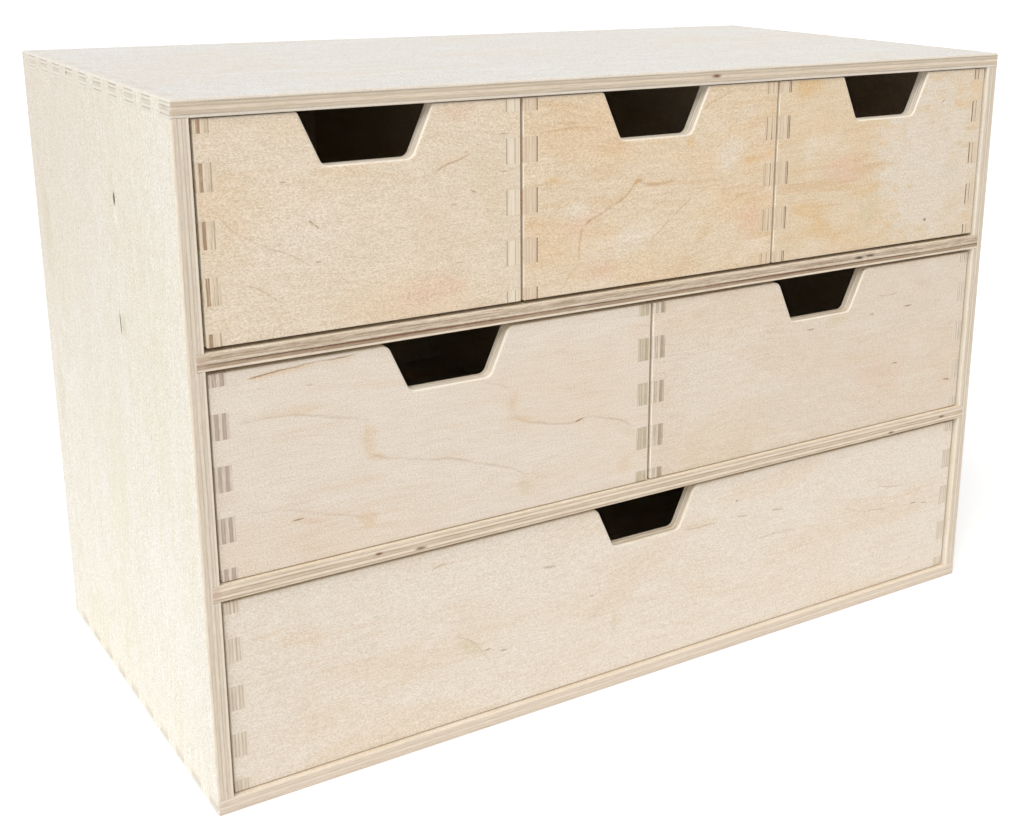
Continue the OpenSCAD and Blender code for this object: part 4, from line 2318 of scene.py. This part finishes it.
def drawers() -> list[Drawer]:
    """The six drawers, from the top left.

    Returns:
        The drawers, not yet built.
    """
    warm, pale = "warm_plywood", "pale_plywood"
    sharp = Pull(lip_radius=1.0)
    return [
        Drawer("top_left", warm, FRONT_TOP_LEFT, CASE_TOP, CASE_PALE, 10, pull=sharp),
        Drawer("top_middle", warm, FRONT_TOP_MIDDLE, CASE_BLUSH, CASE_LINED, 20, pull=sharp),
        Drawer(
            "top_right", warm, FRONT_TOP_RIGHT, CASE_TWIN, CASE_TWIN_RIGHT, 30, pull=sharp
        ),
        Drawer("middle_left", pale, FRONT_MIDDLE_LEFT, CASE_GREY, CASE_OLIVE, 40, flank=0.7),
        Drawer(
            "middle_right", pale, FRONT_MIDDLE_RIGHT, CASE_HATCHED, CASE_FAINT, 50, flank=0.7
        ),
        Drawer("bottom", pale, FRONT_BOTTOM, CASE_FAINT, CASE_FAINT, 60, flank=0.7),
    ]


# ---------------------------------------------------------------- studio and camera


@dataclass(frozen=True)
class Studio:
    """A pale floor, an even white room and one large soft lamp from the front left."""

    room_light: float = 0.45
    lamp_strength: float = 2.2
    lamp_from: Triple = (-0.35, -0.29, 0.55)
    lamp_spread: float = 40.0
    floor_colour: float = 0.93
    floor_glow: float = 0.26
    floor_reach: float = 30.0

    def build(self) -> None:
        """Makes the light and the floor."""
        scene = bpy.context.scene
        scene.view_settings.view_transform = "Standard"
        self._room(scene)
        self._lamp(scene)
        self._floor()
        log.info("studio: room %.2f, lamp %.2f", self.room_light, self.lamp_strength)

    def _room(self, scene: bpy.types.Scene) -> None:
        """White walls as seen and as mirrored, at their own level as light.

        Args:
            scene: the scene.
        """
        world = bpy.data.worlds.new("white_room")
        world.use_nodes = True
        world.node_tree.nodes.clear()
        graph = Graph(world.node_tree)
        path = graph.node("ShaderNodeLightPath").outputs
        rays = ("Is Camera Ray", "Is Glossy Ray", "Is Transmission Ray")
        seen = graph.most(path[name] for name in rays)
        walls = graph.node("ShaderNodeBackground")
        walls.inputs["Color"].default_value = (1.0, 1.0, 1.0, 1.0)
        strength = graph.between(seen, self.room_light, 1.0)
        graph.feed(walls.inputs["Strength"], strength)
        output = graph.node("ShaderNodeOutputWorld")
        graph.feed(output.inputs["Surface"], walls.outputs[0])
        scene.world = world

    def _lamp(self, scene: bpy.types.Scene) -> None:
        """A broad soft lamp.

        Args:
            scene: the scene.
        """
        light = bpy.data.lights.new("soft_lamp", "SUN")
        light.energy = self.lamp_strength
        light.angle = math.radians(self.lamp_spread)
        lamp = bpy.data.objects.new("soft_lamp", light)
        lamp.rotation_mode = "QUATERNION"
        lamp.rotation_quaternion = Vector(self.lamp_from).to_track_quat("Z", "Y")
        lamp.location = Vector(self.lamp_from) * 4
        scene.collection.objects.link(lamp)

    def _floor(self) -> None:
        """A wide pale floor that fades into the room."""
        reach = self.floor_reach
        corners = ((-reach, -reach), (reach, -reach), (reach, reach), (-reach, reach))
        shape = bmesh.new()
        shape.faces.new([shape.verts.new((x, y, 0.0)) for x, y in corners])
        floor = placed("studio_floor", shape)
        made = bpy.data.materials.new("pale_floor")
        made.use_nodes = True
        made.node_tree.nodes.clear()
        graph = Graph(made.node_tree)
        shader = graph.node("ShaderNodeBsdfPrincipled")
        shader.inputs["Base Color"].default_value = (*(self.floor_colour,) * 3, 1.0)
        shader.inputs["Roughness"].default_value = 0.9
        shader.inputs["Specular IOR Level"].default_value = 0.0
        shader.inputs["Emission Color"].default_value = (1.0, 1.0, 1.0, 1.0)
        seen = graph.node("ShaderNodeLightPath").outputs["Is Camera Ray"]
        glow = graph.product(seen, self.floor_glow)
        graph.feed(shader.inputs["Emission Strength"], glow)
        output = graph.node("ShaderNodeOutputMaterial")
        graph.feed(output.inputs["Surface"], shader.outputs[0])
        floor.data.materials.append(made)
        floor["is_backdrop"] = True


@dataclass(frozen=True)
class Camera:
    """The photograph's camera: its place in metres, its turns in degrees, its lens."""

    place: Triple = (-0.3483, -0.5779, 0.3308)
    azimuth: float = -34.182
    elevation: float = 16.269
    roll: float = 0.801
    lens: float = 50.79
    shift: Pair = (-0.0916, -0.0767)

    def build(self) -> None:
        """Makes the camera and gives it to the scene."""
        round_z, up = math.radians(self.azimuth), math.radians(self.elevation)
        back = Vector(
            (
                math.sin(round_z) * math.cos(up),
                -math.cos(round_z) * math.cos(up),
                math.sin(up),
            )
        )
        right = Vector((0, 0, 1)).cross(back).normalized()
        above = back.cross(right)
        turn = math.radians(self.roll)
        right, above = (
            right * math.cos(turn) + above * math.sin(turn),
            above * math.cos(turn) - right * math.sin(turn),
        )
        data = bpy.data.cameras.new("photo_camera")
        data.lens, data.sensor_width, data.sensor_fit = self.lens, 36.0, "HORIZONTAL"
        data.shift_x, data.shift_y = self.shift
        data.clip_start, data.clip_end = 0.01, 100.0
        camera = bpy.data.objects.new("photo_camera", data)
        facing = Matrix((right, above, back)).transposed().to_4x4()
        camera.matrix_world = Matrix.Translation(self.place) @ facing
        bpy.context.scene.collection.objects.link(camera)
        bpy.context.scene.camera = camera
        log.info("camera at %s, lens %.1f mm", self.place, self.lens)


def main() -> None:
    """Builds the studio, the chest and the drawers, and works out the bounds before and after."""
    logging.basicConfig(level=logging.INFO, format="%(message)s")
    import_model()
    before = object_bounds()
    Camera().build()
    Studio().build()
    pieces = Chest().build()
    log.info("chest: %d boards", len(pieces))
    for drawer in drawers():
        made = drawer.build()
        log.info("%s drawer: %d boards", drawer.name, len(made))
        pieces += made
    log.info("%d boards in all", len(pieces))
    sizes = {"frame": before, "visual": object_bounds()}
    {name: [list(v) for v in box] for name, box in sizes.items()}


if __name__ == "__main__":
    main()
